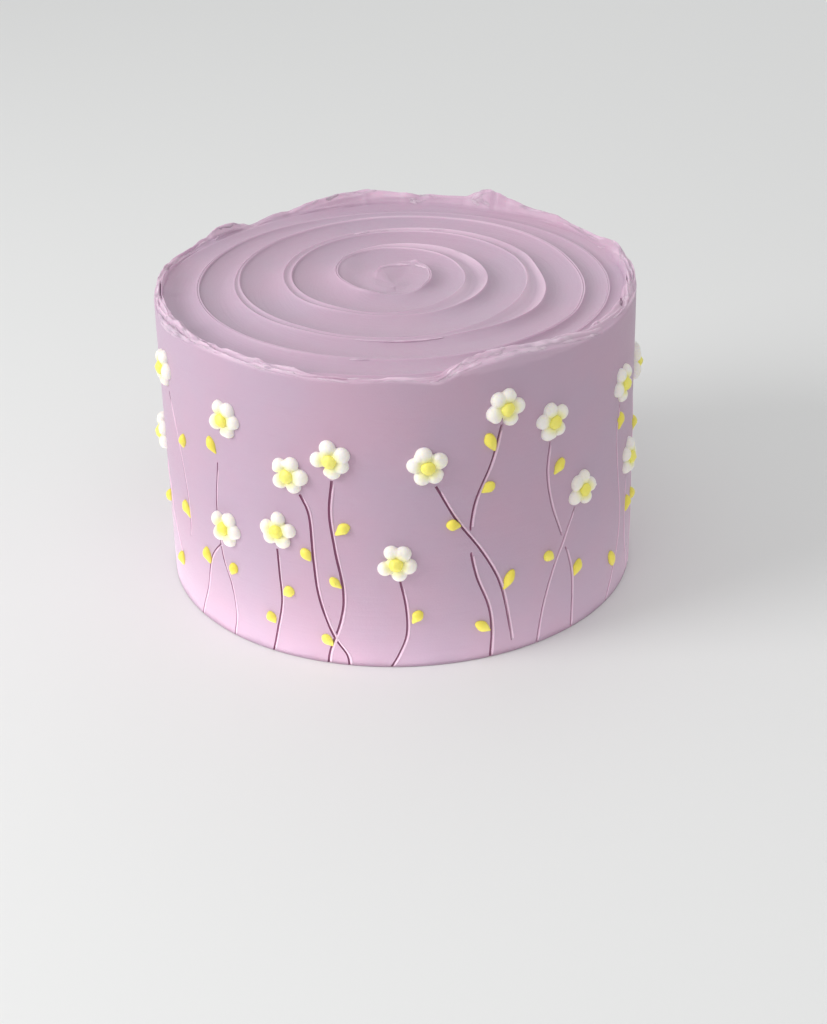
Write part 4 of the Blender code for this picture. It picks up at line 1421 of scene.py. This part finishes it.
def makePetals(number, daisy):
    draws = random.Random(number)
    balls = []
    for k, clockwise in enumerate(daisy["petals"]):
        size = 1 + draws.uniform(-petal["unevenness"], petal["unevenness"])
        turn = Matrix.Rotation(-math.radians(clockwise), 3, "Z")
        wide = petal["width"] / 2 * size
        high = petal["height"] * size
        deselectAll()
        balls.append(addBall(turn @ Vector((0, petal["ring"], 0.0)), (wide, wide, high)))
        # a second press of the bag leaves another bump
        aside = draws.uniform(-0.5, 0.5) * wide
        bump = Vector((aside, petal["ring"] + draws.uniform(-0.1, 0.12) * wide, high * petal["bumpUp"]))
        bumpSize = [a * b for a, b in zip((wide, wide, high), petal["bump"])]
        balls.append(addBall(turn @ bump, bumpSize))
        tailWide, tailLong = petal["tailShape"]
        tailSize = (petal["tail"] * tailWide, petal["tail"] * tailLong, high * petal["tailHeight"])
        balls.append(addBall(turn @ Vector((0, petal["tailRing"], 0.0)), tailSize))
        if k in daisy.get("pulled", ()):
            point = turn @ Vector((0, petal["ring"] + wide * 0.25, high * 0.7))
            balls.append(addBall(point, (wide * 0.22, wide * 0.22, petal["pull"])))
    balls.append(addBall(Vector((0, 0, 0)), (petal["tail"], petal["tail"], petal["height"] * 0.7)))
    petals = joinAll(balls, f"daisyPetals{number:02d}")
    remesh = petals.modifiers.new("pressTogether", "REMESH")
    remesh.mode = "VOXEL"
    remesh.voxel_size = petal["voxel"]
    smooth = petals.modifiers.new("soften", "SMOOTH")
    smooth.factor = 0.5
    smooth.iterations = 3
    applyAll(petals)
    bpy.ops.object.mode_set(mode="EDIT")
    bpy.ops.mesh.select_all(action="SELECT")
    bpy.ops.mesh.bisect(
        plane_co=(0, 0, -petal["sunk"]), plane_no=(0, 0, 1), use_fill=True, clear_inner=True,
        threshold=0.000001,
    )
    bpy.ops.object.mode_set(mode="OBJECT")

    def heartShade(co):
        return smoothStep(*petal["heartShade"], co.to_2d().length) * petal["heartShadeShare"]

    paintPoints(petals, "nearHeart", heartShade)
    moveVerts(petals, lambda co: wrapOnSide(co, *daisy["place"]))
    coverWith(petals, whiteIcing)
    return petals


def makeHeart(number, daisy):
    draws = random.Random(heart["seed"] + number)
    offset = anyOffset(draws)
    nib = Vector((draws.uniform(-0.3, 0.3), draws.uniform(-0.3, 0.3), 1.0)).normalized()
    deselectAll()
    bpy.ops.mesh.primitive_uv_sphere_add(segments=28, ring_count=18, radius=1)
    obj = bpy.context.active_object
    obj.name = f"daisyHeart{number:02d}"
    middle = (heart["top"] + heart["bottom"]) / 2
    half = (heart["top"] - heart["bottom"]) / 2

    def shape(co):
        lump = 1 + heart["lumps"] / half * noise.noise(co * 1.6 + offset) * 1.6
        pulled = heart["nib"][0] * bell((co - nib).length, 0.0, heart["nib"][1])
        flat = co * (lump + pulled)
        flat.z = math.copysign(abs(flat.z) ** heart["shoulder"], flat.z)
        point = Vector((flat.x * heart["radius"], flat.y * heart["radius"], middle + flat.z * half))
        return wrapOnSide(point, *daisy["place"])

    moveVerts(obj, shape)
    coverWith(obj, heartIcing)
    return obj


for number, daisy in enumerate(daisies, start=1):
    petals = makePetals(number, daisy)
    putInPlace(petals, [f"daisy_{number:02d}_petals"])
    middle = makeHeart(number, daisy)
    putInPlace(middle, [f"daisy_{number:02d}_heart"])
print("daisies piped", len(daisies))


# Floor, light and camera

studio = {
    "floorSize": 8.0,
    "floorColour": (0.80, 0.81, 0.805),
    "floorRoughness": 0.7,
    "worldColour": (0.93, 0.93, 0.93),
    "worldStrength": 0.665,
    # soft boxes: place, what it points at, size, power, colour
    "lights": {
        "keyLight": ((-1.18, -0.43, 0.74), (0, 0, 0.07), 0.75, 11.4, (1.0, 0.985, 0.985)),
        "skyLight": ((0.02, -0.42, 1.00), (0, 0, 0.05), 0.8, 1.25, (1.0, 1.0, 1.0)),
        "backLight": ((0.35, 1.25, 0.85), (0.10, 0.45, 0.0), 1.0, 1.1, (1.0, 1.0, 1.0)),
    },
    # light thrown up by the pale surface all round the foot: angle, power of a light there
    "bounces": (
        (-190, 0.0018), (-180, 0.0018), (-130, 0.0026), (-90, 0.0031), (-60, 0.0043), (-30, 0.0047),
        (0, 0.0033), (30, 0.0019), (60, 0.0014), (90, 0.0013), (135, 0.0014), (180, 0.0018),
    ),
    "bounceCount": 24,
    "bouncePlace": (0.1107, 0.0007),  # from the cake's middle, above the floor
    "bounceSize": (0.0250, 0.0400),
}
camera = {
    "place": (0.0, -0.7368, 0.4084),
    "lookAt": (0.00481, 0.0, 0.01569),
    "roll": -1.41,
    "lens": 74.0,
    "sensor": 36.0,
    "clipStart": 0.01,
}


def makeFloor():
    deselectAll()
    bpy.ops.mesh.primitive_plane_add(size=studio["floorSize"])
    floor = bpy.context.active_object
    floor.name = "studioFloor"
    material = bpy.data.materials.new("paleFloor")
    material.use_nodes = True
    shader = material.node_tree.nodes["Principled BSDF"]
    shader.inputs["Base Color"].default_value = (*studio["floorColour"], 1.0)
    shader.inputs["Roughness"].default_value = studio["floorRoughness"]
    floor.data.materials.append(material)


def aim(obj, place, target, roll=0.0):
    forward = (Vector(target) - Vector(place)).normalized()
    obj.matrix_world = (
        Matrix.Translation(place)
        @ forward.to_track_quat("-Z", "Y").to_matrix().to_4x4()
        @ Matrix.Rotation(math.radians(roll), 4, "Z")
    )


def addLamp(name, shape, size, power):
    light = bpy.data.lights.new(name, "AREA")
    light.shape = shape
    light.size, light.size_y = size
    light.energy = power
    lamp = bpy.data.objects.new(name, light)
    lamp.visible_camera = False
    bpy.context.scene.collection.objects.link(lamp)
    return lamp


def makeLights():
    world = bpy.data.worlds.new("studioWorld")
    bpy.context.scene.world = world
    world.use_nodes = True
    sky = world.node_tree.nodes["Background"]
    sky.inputs["Color"].default_value = (*studio["worldColour"], 1.0)
    sky.inputs["Strength"].default_value = studio["worldStrength"]
    for name, (place, target, size, power, colour) in studio["lights"].items():
        lamp = addLamp(name, "DISK", (size, size), power)
        lamp.data.color = colour
        aim(lamp, place, target)
    reach, level = studio["bouncePlace"]
    for number in range(studio["bounceCount"]):
        angle = number / studio["bounceCount"] * 360 - 180
        power = between(studio["bounces"], angle)[0]
        lamp = addLamp(f"bounce{number:02d}", "RECTANGLE", studio["bounceSize"], power)
        place = outward(angle) * reach + Vector((0, 0, level))
        turn = Matrix.Rotation(math.radians(angle), 4, "Z") @ Matrix.Rotation(math.pi, 4, "X")
        lamp.matrix_world = Matrix.Translation(place) @ turn


def makeCamera():
    data = bpy.data.cameras.new("photoCamera")
    data.lens = camera["lens"]
    data.sensor_width = camera["sensor"]
    data.clip_start = camera["clipStart"]
    obj = bpy.data.objects.new("photoCamera", data)
    bpy.context.scene.collection.objects.link(obj)
    aim(obj, camera["place"], camera["lookAt"], camera["roll"])
    bpy.context.scene.camera = obj


makeFloor()
makeLights()
makeCamera()
bpy.context.scene.view_settings.view_transform = "Standard"
print("studio set")
